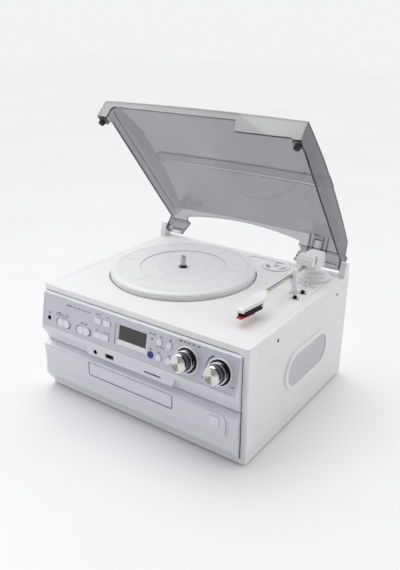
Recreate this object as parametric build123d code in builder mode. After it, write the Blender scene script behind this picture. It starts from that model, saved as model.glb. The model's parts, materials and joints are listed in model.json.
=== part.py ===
"""Stereo music centre: record player, radio, CD drawer and memory inputs in one white cabinet.

Millimetres. +X runs right along the front, +Y to the back, +Z up. The origin lies on the floor under the
middle of the whole object as it stands with its cover open and its knobs and cover overhanging.
"""

import os
from math import cos, radians, sin

from build123d import *

os.makedirs("parts", exist_ok=True)

# ---------------------------------------------------------------- driving dimensions: cabinet
cabinet_width = 310.0
cabinet_depth = 256.6
deck_top = 149.1
foot_height = 2.0
mid_y = 5.25  # cabinet middle, set back because the knobs stand further out than the open cover
moulding_depth = 17.3
moulding_wall = 3.0
corner_radius = 3.5
board = 7.6
back_board = 4.0
base_board_thickness = 4.0
deck_sheet = 3.0
deck_skirt = 8.8
seam = 0.2  # gap between the deck and the side boards
slip = 0.3  # clearance round anything that moves
screw_radius = 1.6

side_x = cabinet_width / 2
front_y = mid_y - cabinet_depth / 2
back_y = mid_y + cabinet_depth / 2
seam_y = front_y + moulding_depth
inner_x = side_x - board
deck_under = deck_top - deck_sheet
skirt_bottom = deck_top - deck_skirt
board_y = back_y - back_board
base_top = foot_height + base_board_thickness

# ---------------------------------------------------------------- driving dimensions: turntable
platter_x = -32.5
platter_y = mid_y + 8.5
platter_radius = 97.8
platter_height = 9.3  # top of the platter above the deck
platter_drop = 3.0  # how far its rim reaches into the well
platter_sheet = 3.0
dish_radius = 58.0
dish_depth = 2.4
groove_radius = 87.5
well_gap = 1.5
well_depth = 8.0
well_floor = 2.5
journal_radius = 3.9
spindle_radius = 3.6
spindle_tip = 22.5
bearing_clearance = 0.05
belt_ring_radius = 62.0
belt_ring_wall = 3.0
belt_height = 4.0
belt_thickness = 0.8
pulley_radius = 6.0
motor_distance = 79.0
motor_radius = 17.5
motor_length = 24.0
adaptor_x = cabinet_width / 2 - 95.0
adaptor_y = mid_y + 101.0
adaptor_radius = 19.05
adaptor_thickness = 4.0
adaptor_well_depth = 3.6

# ---------------------------------------------------------------- driving dimensions: tonearm
arm_x = cabinet_width / 2 - 35.0
arm_y = mid_y + 95.0
arm_offset = -3.0  # the tube lies this far to the left of its swivel
arm_height = 21.8  # tube axis above the deck
panel_sink = 0.8  # the area round the arm lies this far below the deck
sunk_left = 10.0
sunk_right = arm_x + 23.0
sunk_near = mid_y + 6.0
sunk_far = mid_y + 118.0
arm_base_radius = 21.5
arm_base_height = 4.4
arm_column_radius = 7.6
arm_column_top = 17.0
swivel_radius = 3.0
housing_width = 22.0
housing_back = 7.0
housing_front = 21.0
housing_height = 19.0
housing_wall = 2.2
housing_floor = 2.2
housing_roof = 15.0  # how far the roof reaches in front of the swivel
carrier_width = 12.0
carrier_half_height = 3.8
carrier_reach = 27.0
carrier_pin_radius = 1.6
tube_radius = 2.3
tube_bore = 1.6
tube_end = 126.0  # distance from the arm's swivel to the head shell
shell_length = 57.0
neck_width = 11.0
shell_width = 23.0
nose_width = 8.0
shell_draft = 3.0
shell_top = 21.2  # heights above the deck
shell_bottom = 15.2
shell_nose = 17.0
cartridge_width = 9.4
cartridge_length = 30.0
cartridge_height = 3.4
stylus_width = 6.6
stylus_height = 1.7
rest_distance = 62.1
rest_side = 4.2
rest_top = 31.0
rest_plinth = 2.8

# ---------------------------------------------------------------- driving dimensions: cover
cover_angle = 51.6  # how far the cover stands open
hinge_y = mid_y + 123.4
hinge_height = 12.5  # hinge axis above the deck
hinge_pin_radius = 2.5
tower_width = 8.2
tower_gap = 1.2  # between the cover and each tower
cover_half_width = cabinet_width / 2 - tower_width - tower_gap
cover_wall = 2.2
cover_crown_radius = 4200.0  # the top also bows a little from side to side
cover_length = 241.0
cover_front_height = 27.2
cover_bevel_start = 20.0
cover_bevel_inset = 1.6
cover_left_edge = 14.5
cover_front_edge = 17.6
cover_front_edge_right = 2.6
cover_tab_edge = 0.8
cover_step_x = cover_half_width - 85.6
cover_lug = 6.0
arch_left = -cover_half_width + 28.6
arch_right = cover_half_width - 69.6
arch_top = 28.6
arch_spring = 21.0
gusset_x = (cover_half_width - 54.0, cover_half_width - 47.6, cover_half_width - 33.6, cover_half_width - 27.2)
gusset_wall = 1.6
rib_left = -cover_half_width + 25.6
rib_near = 121.0
rib_far = 141.0
rib_height = 1.2
bumper_radius = 4.0
bumper_height = 5.3
bumper_inset = 11.5  # from the front end of the cover
bumper_reach = cover_length - bumper_inset
tower_height = 20.0
tower_front = 10.5
tower_back = 4.2

# ---------------------------------------------------------------- driving dimensions: fascias
fascia_left = -153.5
fascia_right = 147.3
fascia_wall = 3.2
fascia_mid = (fascia_left + fascia_right) / 2
slope = 11.2  # lean of the control panel, degrees
slope_y = mid_y - 139.5  # foot of the panel
slope_z = 92.0
slope_length = 47.3
rim_height = 0.3
plate_thickness = 1.2
plate_bottom = 3.0
plate_top = 45.6
plate_inset = 1.1
plate_gap = 0.15
groove_z = 71.2
groove_y = mid_y - 130.6
lower_front_y = mid_y - 139.0
lower_waist_y = mid_y - 137.6
lower_top = 70.2
lower_shoulder = 66.0
lower_chin = 22.5
lower_bottom = 7.5
lower_wall = 2.6
band_right = 134.8
band_left = -142.0
band_bottom = 37.3
band_top = 65.0
band_face_y = mid_y - 139.5
strip_left = -73.0
strip_right = 61.0
strip_face_y = mid_y - 138.9
strip_bottom = 75.8
strip_top = 90.6
window_wall = 7.0  # front moulding left standing round its two windows

# ---------------------------------------------------------------- driving dimensions: controls
upper_row = 33.0  # heights up the sloping panel
lower_row = 14.7
knob_row = 23.7
tuning_x = 79.0
volume_x = 123.3
collar_radius = 15.4
collar_wall = 1.5
collar_height = 1.4
skirt_radius = 13.4
skirt_rise = 3.6
drum_radius = 12.4
drum_rise = 8.4
grip_radius = 10.4
grip_rise = 17.0
shaft_radius = 3.0
round_button_radius = 4.0
round_buttons = {
    "play_button": (39.4, upper_row),
    "stop_button": (53.7, upper_row),
    "skip_back_button": (40.2, lower_row),
    "skip_next_button": (54.0, lower_row),
    "power_button": (28.1, lower_row),
}
square_button = (11.0, 7.0)
square_buttons = {"memory_button": (-56.6, upper_row), "mode_button": (-41.9, upper_row)}
button_proud = 1.2
button_corner = 1.2
button_travel = 1.0
flange_rim = 1.0
rocker_x = -49.5
rocker_size = (24.6, 7.6)
rocker_pin_depth = 4.6
slider_wells = {"function_slider": (-115.0, 0.0), "band_slider": (-79.8, 1.5)}
slider_row = 13.6
slider_well = (26.5, 10.4)
slider_grip = 21.5
slider_travel = 2.0
slider_proud = 1.0
display_left = -24.4
display_right = 18.0
display_bottom = 18.0
display_top = 36.3
display_bezel = (-28.7, 12.0, 21.5, 38.0)
display_depth = 3.0
lens_thickness = 1.6
indicator_x = 28.0
indicator_y = 34.2
indicator_radius = 1.3
headphone_x = -141.0
headphone_y = 14.5
jack_radius = 3.0
jack_bore = 1.8
jack_length = 14.0
aux_x = -59.2
aux_z = 82.4
usb_x = -35.6
usb_z = 83.2
usb_size = (14.6, 6.6)
usb_inner = (12.6, 5.2)
card_x = 32.0
card_z = 82.2
card_slot = (24.6, 2.4)
card_lip = 2.0  # face of the strip in front of the card socket
control_board_depth = 14.0
pcb = 1.6
input_board_z = 76.8
input_board_front = 5.5
input_board_length = 33.0
switch_height = 1.2

# ---------------------------------------------------------------- driving dimensions: CD drawer
drawer_left = -71.2
drawer_right = 60.3
drawer_bottom = 47.0
drawer_height = 17.0
drawer_gap = 0.4
drawer_corner = 5.0
disc_radius = 60.0
tray_sheet = 5.0
tray_depth = 146.0
loader_wall = 2.4
loader_top = 68.0
loader_floor = 43.0
loader_start = 4.0  # behind the front of the cabinet
loader_length = tray_depth + 2.0
loader_leg = 8.0
eject_x = 120.0
eject_z = 54.8
eject_size = (13.0, 12.0)

# ---------------------------------------------------------------- driving dimensions: sides and back
speaker_y = mid_y + 13.5
speaker_z = 74.8
grille_length = 115.0
grille_height = 53.0
grille_rim = 5.6
grille_proud = 2.6
grille_recess = 1.2  # how far the mesh stands out from the board
grille_collar = 4.0
grille_step = 1.2
mesh_thickness = 1.0
speaker_frame = 3.0
magnet_radius = 22.0
magnet_length = 16.0
side_screws = ((mid_y - 65.3, 133.4), (mid_y + 93.8, 133.4))
screw_head = 2.6
rca_from_side = 59.0
rca_x = side_x - rca_from_side
rca_z = 38.0
rca_pitch = 18.0
rca_radius = 4.15
rca_length = 9.0
inlet_from_side = 55.0
inlet_x = inlet_from_side - side_x
inlet_radius = 2.8
inlet_depth = 9.0
inlet_body = 13.0
vent_count = 9
vent_pitch = 11.0
vent_slot = (4.0, 34.0)
vent_z = 92.0
foot_radius = 9.0
foot_inset = 26.0


def finish(piece, name):
    """Label a finished piece and write it."""
    piece.label = name
    export_step(piece, f"parts/{name}.step")


def level(height):
    """Horizontal plane at a height above the floor."""
    return Plane.XY.offset(height)


def facing(y):
    """Upright plane that looks out of the front, at a distance along Y."""
    return Plane.XZ.offset(-y)


def turning(x, y):
    """Upright plane through a vertical turning axis: local X is the radius, local Y the height."""
    return Plane(origin=(x, y, 0), x_dir=(1, 0, 0), z_dir=(0, -1, 0))


def across(x):
    """Upright plane that looks to the right, at a distance along X."""
    return Plane.YZ.offset(x)


panel_plane = Plane(
    origin=(0, slope_y, slope_z), x_dir=(1, 0, 0), z_dir=(0, -cos(radians(slope)), sin(radians(slope)))
)


panel_out = Axis(panel_plane.origin, panel_plane.z_dir)


def panel(depth=0.0):
    """Plane parallel to the control panel, a depth below its face. Local Y runs up the slope."""
    return panel_plane.offset(-depth)


def slope_point(along, proud=0.0):
    """(y, z) of a point a distance up the slope, standing proud of the panel."""
    lean = radians(slope)
    return (slope_y + along * sin(lean) - proud * cos(lean), slope_z + along * cos(lean) + proud * sin(lean))


# ================================================================ cabinet
with BuildPart() as front_moulding:
    with BuildSketch(level(foot_height)):
        with Locations((0, front_y + moulding_depth / 2)):
            Rectangle(cabinet_width, moulding_depth)
    extrude(amount=skirt_bottom - foot_height)
    front_corners = front_moulding.edges().filter_by(Axis.Z).group_by(Axis.Y)[0]
    fillet(front_corners, radius=corner_radius)
    with BuildSketch(facing(seam_y)) as frame_inside:
        with Locations((0, (foot_height + moulding_wall + skirt_bottom) / 2)):
            Rectangle(cabinet_width - 2 * moulding_wall, skirt_bottom - foot_height - moulding_wall)
    extrude(amount=moulding_depth - moulding_wall, mode=Mode.SUBTRACT)
    # the windows behind the two fascias, with a rail between them
    window_left = fascia_left + window_wall
    window_right = fascia_right - window_wall
    for low, high in ((strip_bottom + 0.4, 136.0), (lower_bottom + window_wall, lower_shoulder + 1.5)):
        with BuildSketch(facing(front_y + moulding_wall)):
            with Locations(((window_left + window_right) / 2, (low + high) / 2)):
                Rectangle(window_right - window_left, high - low)
        extrude(amount=moulding_wall, mode=Mode.SUBTRACT)
finish(front_moulding.part, "front_moulding")

deck_half = inner_x - seam
well_radius = platter_radius + well_gap
motor_x = platter_x + motor_distance * cos(radians(250))
motor_y = platter_y + motor_distance * sin(radians(250))
lever_holes = {"speed_lever": (arm_x + 11.0, mid_y + 18.7), "auto_stop_lever": (arm_x + 11.5, mid_y + 38.8)}
lever_slot = (12.0, 2.6)
spigot_radius = 9.0
tube_x = arm_x + arm_offset
rest_gap = 0.5
rest_x = tube_x + tube_radius + rest_gap + rest_side / 2

with BuildPart() as top_deck:
    with BuildSketch(level(deck_under)):
        with Locations((0, front_y + moulding_depth / 2)):
            Rectangle(cabinet_width, moulding_depth)
        with Locations((0, (seam_y + back_y) / 2)):
            Rectangle(2 * deck_half, back_y - seam_y)
    extrude(amount=deck_sheet)
    with BuildSketch(level(skirt_bottom)):
        with Locations((0, front_y + moulding_depth / 2)):
            Rectangle(cabinet_width, moulding_depth)
        with Locations((0, front_y + (moulding_depth + moulding_wall) / 2)):
            Rectangle(
                cabinet_width - 2 * moulding_wall, moulding_depth - moulding_wall, mode=Mode.SUBTRACT
            )
    extrude(amount=deck_skirt - deck_sheet)
    deck_corners = top_deck.edges().filter_by(Axis.Z).group_by(Axis.Y)[0]
    fillet(deck_corners, radius=corner_radius)
    front_arris = top_deck.edges().group_by(Axis.Z)[-1].group_by(Axis.Y)[0]
    fillet(front_arris, radius=0.8)
    # wells for the platter and for the single-record adaptor
    with BuildSketch(level(deck_top - well_depth - well_floor)):
        with Locations((platter_x, platter_y)):
            Circle(well_radius + well_floor)
        with Locations((adaptor_x, adaptor_y)):
            Circle(adaptor_radius + slip + moulding_wall)
    extrude(amount=well_depth + well_floor - deck_sheet)
    with BuildSketch(level(deck_top)):
        with Locations((platter_x, platter_y)):
            Circle(well_radius)
    extrude(amount=-well_depth, mode=Mode.SUBTRACT)
    # the sunk area that carries the tonearm
    with BuildSketch(level(deck_top)) as sunk_area:
        with Locations(((sunk_left + sunk_right) / 2, (sunk_near + sunk_far) / 2)):
            RectangleRounded(sunk_right - sunk_left, sunk_far - sunk_near, 8.0)
    extrude(amount=-panel_sink, mode=Mode.SUBTRACT)
    with BuildSketch(level(deck_top)):
        with Locations((adaptor_x, adaptor_y)):
            Circle(adaptor_radius + slip)
    extrude(amount=-adaptor_well_depth, mode=Mode.SUBTRACT)
    # holes through the well and the deck
    with BuildSketch(level(deck_top)):
        with Locations((platter_x, platter_y)):
            Circle(spigot_radius)
        with Locations((motor_x, motor_y)):
            Circle(pulley_radius + 3.0)
        with Locations((arm_x, arm_y)):
            Circle(spigot_radius)
        with Locations((rest_x, arm_y - rest_distance)):
            Rectangle(rest_side, rest_side)
        with Locations(*lever_holes.values()):
            SlotOverall(*lever_slot)
    extrude(amount=-(well_depth + well_floor), mode=Mode.SUBTRACT)
finish(top_deck.part, "top_deck")

for name, side in (("side_panel_right", 1), ("side_panel_left", -1)):
    with BuildPart() as side_panel:
        with BuildSketch(across(side * inner_x)):
            with Locations(((seam_y + back_y) / 2, (foot_height + deck_top) / 2)):
                Rectangle(back_y - seam_y, deck_top - foot_height)
        extrude(amount=side * board)
        chamfer(
            side_panel.edges().filter_by(Axis.X).group_by(Axis.Z)[0].sort_by(Axis.Y)[-1], length=4.0
        )
        top_arris = side_panel.edges().filter_by(Axis.Y).group_by(Axis.Z)[-1].sort_by(Axis.X)
        fillet(top_arris[-1] if side > 0 else top_arris[0], radius=0.8)
        with BuildSketch(across(side * side_x)):
            with Locations((speaker_y, speaker_z)):
                SlotOverall(
                    grille_length - 2 * (grille_rim - grille_step - seam),
                    grille_height - 2 * (grille_rim - grille_step - seam),
                )
        extrude(amount=-side * board, mode=Mode.SUBTRACT)
        with BuildSketch(across(side * side_x)):
            with Locations(*side_screws):
                Circle(screw_radius)
        extrude(amount=-side * board, mode=Mode.SUBTRACT)
        with BuildSketch(across(side * side_x)):
            with Locations(*side_screws):
                Circle(screw_head)
        extrude(amount=-side * 1.6, mode=Mode.SUBTRACT)
    finish(side_panel.part, name)

with BuildPart() as back_panel:
    with BuildSketch(facing(board_y)):
        with Locations((0, (foot_height + deck_under) / 2)):
            Rectangle(2 * inner_x, deck_under - foot_height)
        with Locations((0, vent_z)):
            with GridLocations(vent_pitch, 0, vent_count, 1):
                SlotOverall(vent_slot[1], vent_slot[0], rotation=90, mode=Mode.SUBTRACT)
        with Locations((rca_x, rca_z), (rca_x + rca_pitch, rca_z)):
            Circle(rca_radius + slip, mode=Mode.SUBTRACT)
        with Locations((inlet_x, rca_z)):
            Circle(inlet_radius + 1.2, mode=Mode.SUBTRACT)
    extrude(amount=-back_board)
finish(back_panel.part, "back_panel")

with BuildPart() as base_board:
    with BuildSketch(level(foot_height)):
        with Locations((0, (seam_y + board_y) / 2)):
            Rectangle(2 * inner_x, board_y - seam_y)
    extrude(amount=base_board_thickness)
finish(base_board.part, "base_board")

feet_places = [
    (x, y)
    for x in (-side_x + foot_inset, side_x - foot_inset)
    for y in (seam_y + foot_inset, back_y - foot_inset)
]
with BuildPart() as feet:
    with BuildSketch(level(0)):
        with Locations(*feet_places):
            Circle(foot_radius)
    extrude(amount=foot_height)
finish(feet.part, "feet")

corner_block = 12.0
with BuildPart() as case_screws:
    for side in (-1, 1):
        with BuildSketch(across(side * (side_x - 1.6))):
            with Locations(*side_screws):
                Circle(screw_head - 0.1)
        extrude(amount=side * 1.4)
        with BuildSketch(across(side * (side_x - 1.6))):
            with Locations(*side_screws):
                Circle(screw_radius - 0.1)
        extrude(amount=-side * (board - 1.6))
finish(case_screws.part, "case_screws")

# ================================================================ upper fascia and control panel
fascia_left_inside = fascia_left + fascia_wall
fascia_right_inside = fascia_right - fascia_wall
fascia_length = fascia_right - fascia_left
rim_top = slope_point(slope_length, rim_height)
rim_foot = slope_point(-0.6, rim_height)
nose_under = (mid_y - 139.6, 88.6)
cove_middle = (mid_y - 133.9, 80.9)
fascia_head = 139.6


def upper_outline(back):
    """Side outline of the upper fascia: bevelled head, leaning panel, nose and cove, closed at `back`."""
    Polyline((back, fascia_head), (front_y - 0.4, fascia_head), rim_top, rim_foot, nose_under)
    ThreePointArc(nose_under, cove_middle, (groove_y, groove_z))
    Polyline((groove_y, groove_z), (back, groove_z), (back, fascia_head))


panel_holes = {}
with BuildPart() as upper_fascia:
    with BuildSketch(across(fascia_left)):
        with BuildLine():
            upper_outline(front_y)
        make_face()
    extrude(amount=fascia_length)
    nose_edges = upper_fascia.edges().filter_by(Axis.X).filter_by_position(Axis.Z, slope_z - 1.6, slope_z)
    fillet(nose_edges, radius=1.2)
    # raised strip that carries the sockets
    with BuildSketch(facing(groove_y)):
        with BuildLine():
            Polyline(
                (strip_left, strip_bottom),
                (strip_left, strip_top),
                (strip_right + 4.0, strip_top),
                (strip_right, strip_bottom),
                close=True,
            )
        make_face()
    extrude(amount=groove_y - strip_face_y)
    strip_edges = upper_fascia.edges().filter_by_position(Axis.Y, strip_face_y - 0.1, strip_face_y + 0.1)
    strip_under = strip_edges.filter_by(Axis.X).sort_by(Axis.Z)[0]
    fillet(strip_under, radius=1.5)
    # hollow behind
    with BuildSketch(across(fascia_left_inside)) as hollow:
        with BuildLine():
            upper_outline(front_y + 2 * fascia_wall)
        make_face()
        offset(amount=-fascia_wall, kind=Kind.INTERSECTION)
    extrude(amount=fascia_right_inside - fascia_left_inside, mode=Mode.SUBTRACT)
    # pocket for the control panel plate
    with BuildSketch(panel(plate_thickness)):
        with Locations((fascia_mid, (plate_bottom + plate_top) / 2)):
            Rectangle(fascia_length - 2 * plate_inset, plate_top - plate_bottom)
    extrude(amount=plate_thickness + 1.0, mode=Mode.SUBTRACT)
    # pad behind the display with its bevelled recess
    pad_left, pad_bottom, pad_right, pad_top = display_bezel
    with BuildSketch(panel(plate_thickness)):
        with Locations(((pad_left + pad_right) / 2, (pad_bottom + pad_top) / 2)):
            Rectangle(pad_right - pad_left + 2.0, pad_top - pad_bottom + 2.0)
    extrude(amount=-(display_depth + lens_thickness - plate_thickness))
    with BuildSketch(panel(plate_thickness)):
        with Locations(((pad_left + pad_right) / 2, (pad_bottom + pad_top) / 2)):
            Rectangle(pad_right - pad_left, pad_top - pad_bottom)
    with BuildSketch(panel(display_depth)):
        with Locations(((display_left + display_right) / 2, (display_bottom + display_top) / 2)):
            Rectangle(display_right - display_left, display_top - display_bottom)
    loft(mode=Mode.SUBTRACT)
    with BuildSketch(panel(display_depth)):
        with Locations(((display_left + display_right) / 2, (display_bottom + display_top) / 2)):
            Rectangle(display_right - display_left, display_top - display_bottom)
    extrude(amount=-10.0, mode=Mode.SUBTRACT)
    # raised collars round the knobs
    with BuildSketch(panel(plate_thickness)):
        with Locations((tuning_x, knob_row), (volume_x, knob_row)):
            Circle(collar_radius)
            Circle(collar_radius - collar_wall, mode=Mode.SUBTRACT)
    extrude(amount=plate_thickness + collar_height)
    # openings in the sloping wall
    with BuildSketch(panel(0)):
        with Locations((tuning_x, knob_row), (volume_x, knob_row)):
            Circle(shaft_radius + 1.0)
        with Locations(*round_buttons.values()):
            Circle(round_button_radius + slip)
        with Locations(*square_buttons.values()):
            RectangleRounded(square_button[0] + 2 * slip, square_button[1] + 2 * slip, button_corner)
        with Locations((rocker_x, lower_row)):
            RectangleRounded(rocker_size[0] + 1.0, rocker_size[1] + 2 * slip, button_corner)
        with Locations(*[(place[0], slider_row) for place in slider_wells.values()]):
            SlotOverall(*slider_well)
        with Locations((indicator_x, indicator_y)):
            Circle(indicator_radius)
        with Locations((headphone_x, headphone_y)):
            Circle(jack_radius)
    extrude(amount=-(fascia_wall + 1.0), mode=Mode.SUBTRACT)
    # openings in the socket strip
    with BuildSketch(facing(strip_face_y)):
        with Locations((aux_x, aux_z)):
            Circle(jack_radius)
        with Locations((usb_x, usb_z)):
            RectangleRounded(*usb_size, 0.8)
        with Locations((card_x, card_z)):
            Rectangle(*card_slot)
    extrude(amount=-(front_y - strip_face_y + fascia_wall), mode=Mode.SUBTRACT)
    # pocket for the card socket behind the face of the strip
    with BuildSketch(facing(strip_face_y + card_lip)):
        with Locations((card_x, card_z)):
            Rectangle(card_slot[0] + 1.4, card_slot[1] + 1.4)
    extrude(amount=-(front_y - strip_face_y + fascia_wall - card_lip), mode=Mode.SUBTRACT)
finish(upper_fascia.part, "upper_fascia")

with BuildPart() as control_panel:
    with BuildSketch(panel(plate_thickness)):
        with Locations((fascia_mid, (plate_bottom + plate_top) / 2)):
            Rectangle(fascia_length - 2 * (plate_inset + plate_gap), plate_top - plate_bottom - 2 * plate_gap)
        with Locations((tuning_x, knob_row), (volume_x, knob_row)):
            Circle(collar_radius, mode=Mode.SUBTRACT)
        with Locations(*round_buttons.values()):
            Circle(round_button_radius + slip, mode=Mode.SUBTRACT)
        with Locations(*square_buttons.values()):
            RectangleRounded(
                square_button[0] + 2 * slip,
                square_button[1] + 2 * slip,
                button_corner,
                mode=Mode.SUBTRACT,
            )
        with Locations((rocker_x, lower_row)):
            RectangleRounded(
                rocker_size[0] + 1.0, rocker_size[1] + 2 * slip, button_corner, mode=Mode.SUBTRACT
            )
        with Locations(*[(place[0], slider_row) for place in slider_wells.values()]):
            SlotOverall(*slider_well, mode=Mode.SUBTRACT)
        with Locations((indicator_x, indicator_y)):
            Circle(indicator_radius, mode=Mode.SUBTRACT)
        with Locations((headphone_x, headphone_y)):
            Circle(jack_radius, mode=Mode.SUBTRACT)
        with Locations(((pad_left + pad_right) / 2, (pad_bottom + pad_top) / 2)):
            Rectangle(pad_right - pad_left, pad_top - pad_bottom, mode=Mode.SUBTRACT)
    extrude(amount=plate_thickness)
finish(control_panel.part, "control_panel")

with BuildPart() as display_lens:
    with BuildSketch(panel(display_depth + lens_thickness)):
        with Locations(((display_left + display_right) / 2, (display_bottom + display_top) / 2)):
            Rectangle(display_right - display_left, display_top - display_bottom)
    extrude(amount=lens_thickness)
finish(display_lens.part, "display_lens")

module_depth = display_depth + lens_thickness
module_thickness = 4.0
with BuildPart() as display_module:
    with BuildSketch(panel(module_depth + module_thickness)):
        with Locations(((display_left + display_right) / 2, (display_bottom + display_top) / 2)):
            Rectangle(display_right - display_left + 4.0, display_top - display_bottom + 4.0)
    extrude(amount=module_thickness)
    # legs that stand on the control board
    with BuildSketch(panel(module_depth + module_thickness)):
        with Locations((display_left, display_bottom + 9.0), (display_right, display_bottom + 9.0)):
            Rectangle(3.0, 10.0)
    extrude(amount=-(control_board_depth - module_depth - module_thickness))
finish(display_module.part, "display_module")

with BuildPart() as indicator_lens:
    with BuildSketch(panel(control_board_depth)):
        with Locations((indicator_x, indicator_y)):
            Circle(indicator_radius - 0.1)
    extrude(amount=control_board_depth + 0.3)
    fillet(indicator_lens.edges().group_by(panel_out)[-1], radius=0.5)
finish(indicator_lens.part, "indicator_lens")

# ---------------------------------------------------------------- circuit boards behind the fascia
board_bottom = plate_bottom + 3.0
board_top = plate_top - 4.0
board_length = fascia_right - fascia_left - 2 * window_wall - 6.0
stem_end = control_board_depth - switch_height - button_travel - 0.2
tact_places = list(round_buttons.values()) + list(square_buttons.values())
post_places = [(x, y) for x in (-146.0, 20.0 + display_right, 143.0) for y in (board_bottom + 3.0,)]

with BuildPart() as front_boards:
    with BuildSketch(panel(control_board_depth + pcb)):
        with Locations((fascia_mid, (board_bottom + board_top) / 2)):
            Rectangle(board_length, board_top - board_bottom)
        with Locations((headphone_x, headphone_y)):
            Circle(jack_radius + 2.4, mode=Mode.SUBTRACT)
    extrude(amount=pcb)
    # push switches under the buttons
    with BuildSketch(panel(control_board_depth)):
        with Locations(*tact_places):
            Rectangle(5.0, 5.0)
        with Locations((rocker_x - 8.0, lower_row), (rocker_x + 8.0, lower_row)):
            Rectangle(5.0, 5.0)
    extrude(amount=switch_height)
    # bodies of the tuning and volume controls, bored for the knob shafts
    with BuildSketch(panel(control_board_depth)):
        with Locations((tuning_x, knob_row), (volume_x, knob_row)):
            Rectangle(17.0, 17.0)
            Circle(shaft_radius + bearing_clearance, mode=Mode.SUBTRACT)
    extrude(amount=7.0)
    # board for the sockets in the strip
    with BuildSketch(level(input_board_z)):
        with Locations(((strip_left + strip_right) / 2, groove_y + input_board_front + input_board_length / 2)):
            Rectangle(strip_right - strip_left - 12.0, input_board_length)
    extrude(amount=pcb)
finish(front_boards.part, "front_boards")

with BuildPart() as audio_jacks:
    # headphone jack in the sloping panel
    with BuildSketch(panel(0)):
        with Locations((headphone_x, headphone_y)):
            Circle(jack_radius - 0.05)
    extrude(amount=-6.0)
    with BuildSketch(panel(fascia_wall)):
        with Locations((headphone_x, headphone_y)):
            Circle(jack_radius + 1.6)
    extrude(amount=-12.0)
    with BuildSketch(panel(0)):
        with Locations((headphone_x, headphone_y)):
            Circle(jack_bore)
    extrude(amount=-jack_length, mode=Mode.SUBTRACT)
    # auxiliary jack in the strip
    with BuildSketch(facing(strip_face_y)):
        with Locations((aux_x, aux_z)):
            Circle(jack_radius - 0.05)
    extrude(amount=-(groove_y + input_board_front - strip_face_y))
    with BuildSketch(facing(groove_y + input_board_front)):
        with Locations((aux_x, aux_z)):
            Rectangle(8.0, 2 * (aux_z - input_board_z - pcb))
    extrude(amount=-10.0)
    with BuildSketch(facing(strip_face_y)):
        with Locations((aux_x, aux_z)):
            Circle(jack_bore)
    extrude(amount=-jack_length, mode=Mode.SUBTRACT)
finish(audio_jacks.part, "audio_jacks")

socket_back = groove_y + input_board_front + 12.0
with BuildPart() as usb_socket:
    with BuildSketch(facing(strip_face_y + 0.3)):
        with Locations((usb_x, usb_z)):
            RectangleRounded(usb_size[0] - 0.4, usb_size[1] - 0.4, 0.7)
    extrude(amount=-(socket_back - strip_face_y - 0.3))
    with BuildSketch(facing(strip_face_y)):
        with Locations((usb_x, usb_z)):
            Rectangle(*usb_inner)
    extrude(amount=-(socket_back - strip_face_y - 1.5), mode=Mode.SUBTRACT)
    # tongue that carries the contacts
    with BuildSketch(facing(socket_back)):
        with Locations((usb_x, usb_z + usb_inner[1] / 2 - 1.5)):
            Rectangle(usb_inner[0] - 1.4, 1.8)
    extrude(amount=socket_back - strip_face_y - 5.0)
    with BuildSketch(level(input_board_z + pcb)):
        with Locations((usb_x - 5.0, socket_back - 4.0), (usb_x + 5.0, socket_back - 4.0)):
            Rectangle(2.0, 2.0)
    extrude(amount=usb_z - usb_size[1] / 2 - input_board_z - pcb + 0.3)
finish(usb_socket.part, "usb_socket")

with BuildPart() as card_socket:
    with BuildSketch(facing(strip_face_y + card_lip + 0.3)):
        with Locations((card_x, card_z)):
            Rectangle(card_slot[0] + 1.2, card_slot[1] + 1.2)
    extrude(amount=-(socket_back + 6.0 - strip_face_y - card_lip))
    with BuildSketch(facing(strip_face_y)):
        with Locations((card_x, card_z)):
            Rectangle(*card_slot)
    extrude(amount=-(socket_back + 4.0 - strip_face_y), mode=Mode.SUBTRACT)
    with BuildSketch(level(input_board_z + pcb)):
        with Locations((card_x - 9.0, socket_back), (card_x + 9.0, socket_back)):
            Rectangle(2.0, 4.0)
    extrude(amount=card_z - card_slot[1] / 2 - 0.6 - input_board_z - pcb + 0.3)
finish(card_socket.part, "card_socket")

# ---------------------------------------------------------------- buttons, sliders and knobs
flange_depth = fascia_wall
for name, place in square_buttons.items():
    with BuildPart() as button:
        with BuildSketch(panel(flange_depth)):
            with Locations(place):
                RectangleRounded(*square_button, button_corner - slip)
        extrude(amount=flange_depth + button_proud)
        fillet(button.faces().sort_by(panel_out)[-1].edges(), radius=0.5)
        with BuildSketch(panel(flange_depth)):
            with Locations(place):
                Rectangle(square_button[0] + 2 * flange_rim, square_button[1] + 2 * flange_rim)
        extrude(amount=-flange_rim)
        with BuildSketch(panel(flange_depth)):
            with Locations(place):
                Rectangle(3.0, 3.0)
        extrude(amount=-(stem_end - flange_depth))
    finish(button.part, name)

for name, place in round_buttons.items():
    with BuildPart() as button:
        with BuildSketch(panel(flange_depth)):
            with Locations(place):
                Circle(round_button_radius)
        extrude(amount=flange_depth + button_proud)
        fillet(button.faces().sort_by(panel_out)[-1].edges(), radius=0.5)
        with BuildSketch(panel(flange_depth)):
            with Locations(place):
                Circle(round_button_radius + flange_rim)
        extrude(amount=-flange_rim)
        with BuildSketch(panel(flange_depth)):
            with Locations(place):
                Rectangle(3.0, 3.0)
        extrude(amount=-(stem_end - flange_depth))
    finish(button.part, name)

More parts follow.
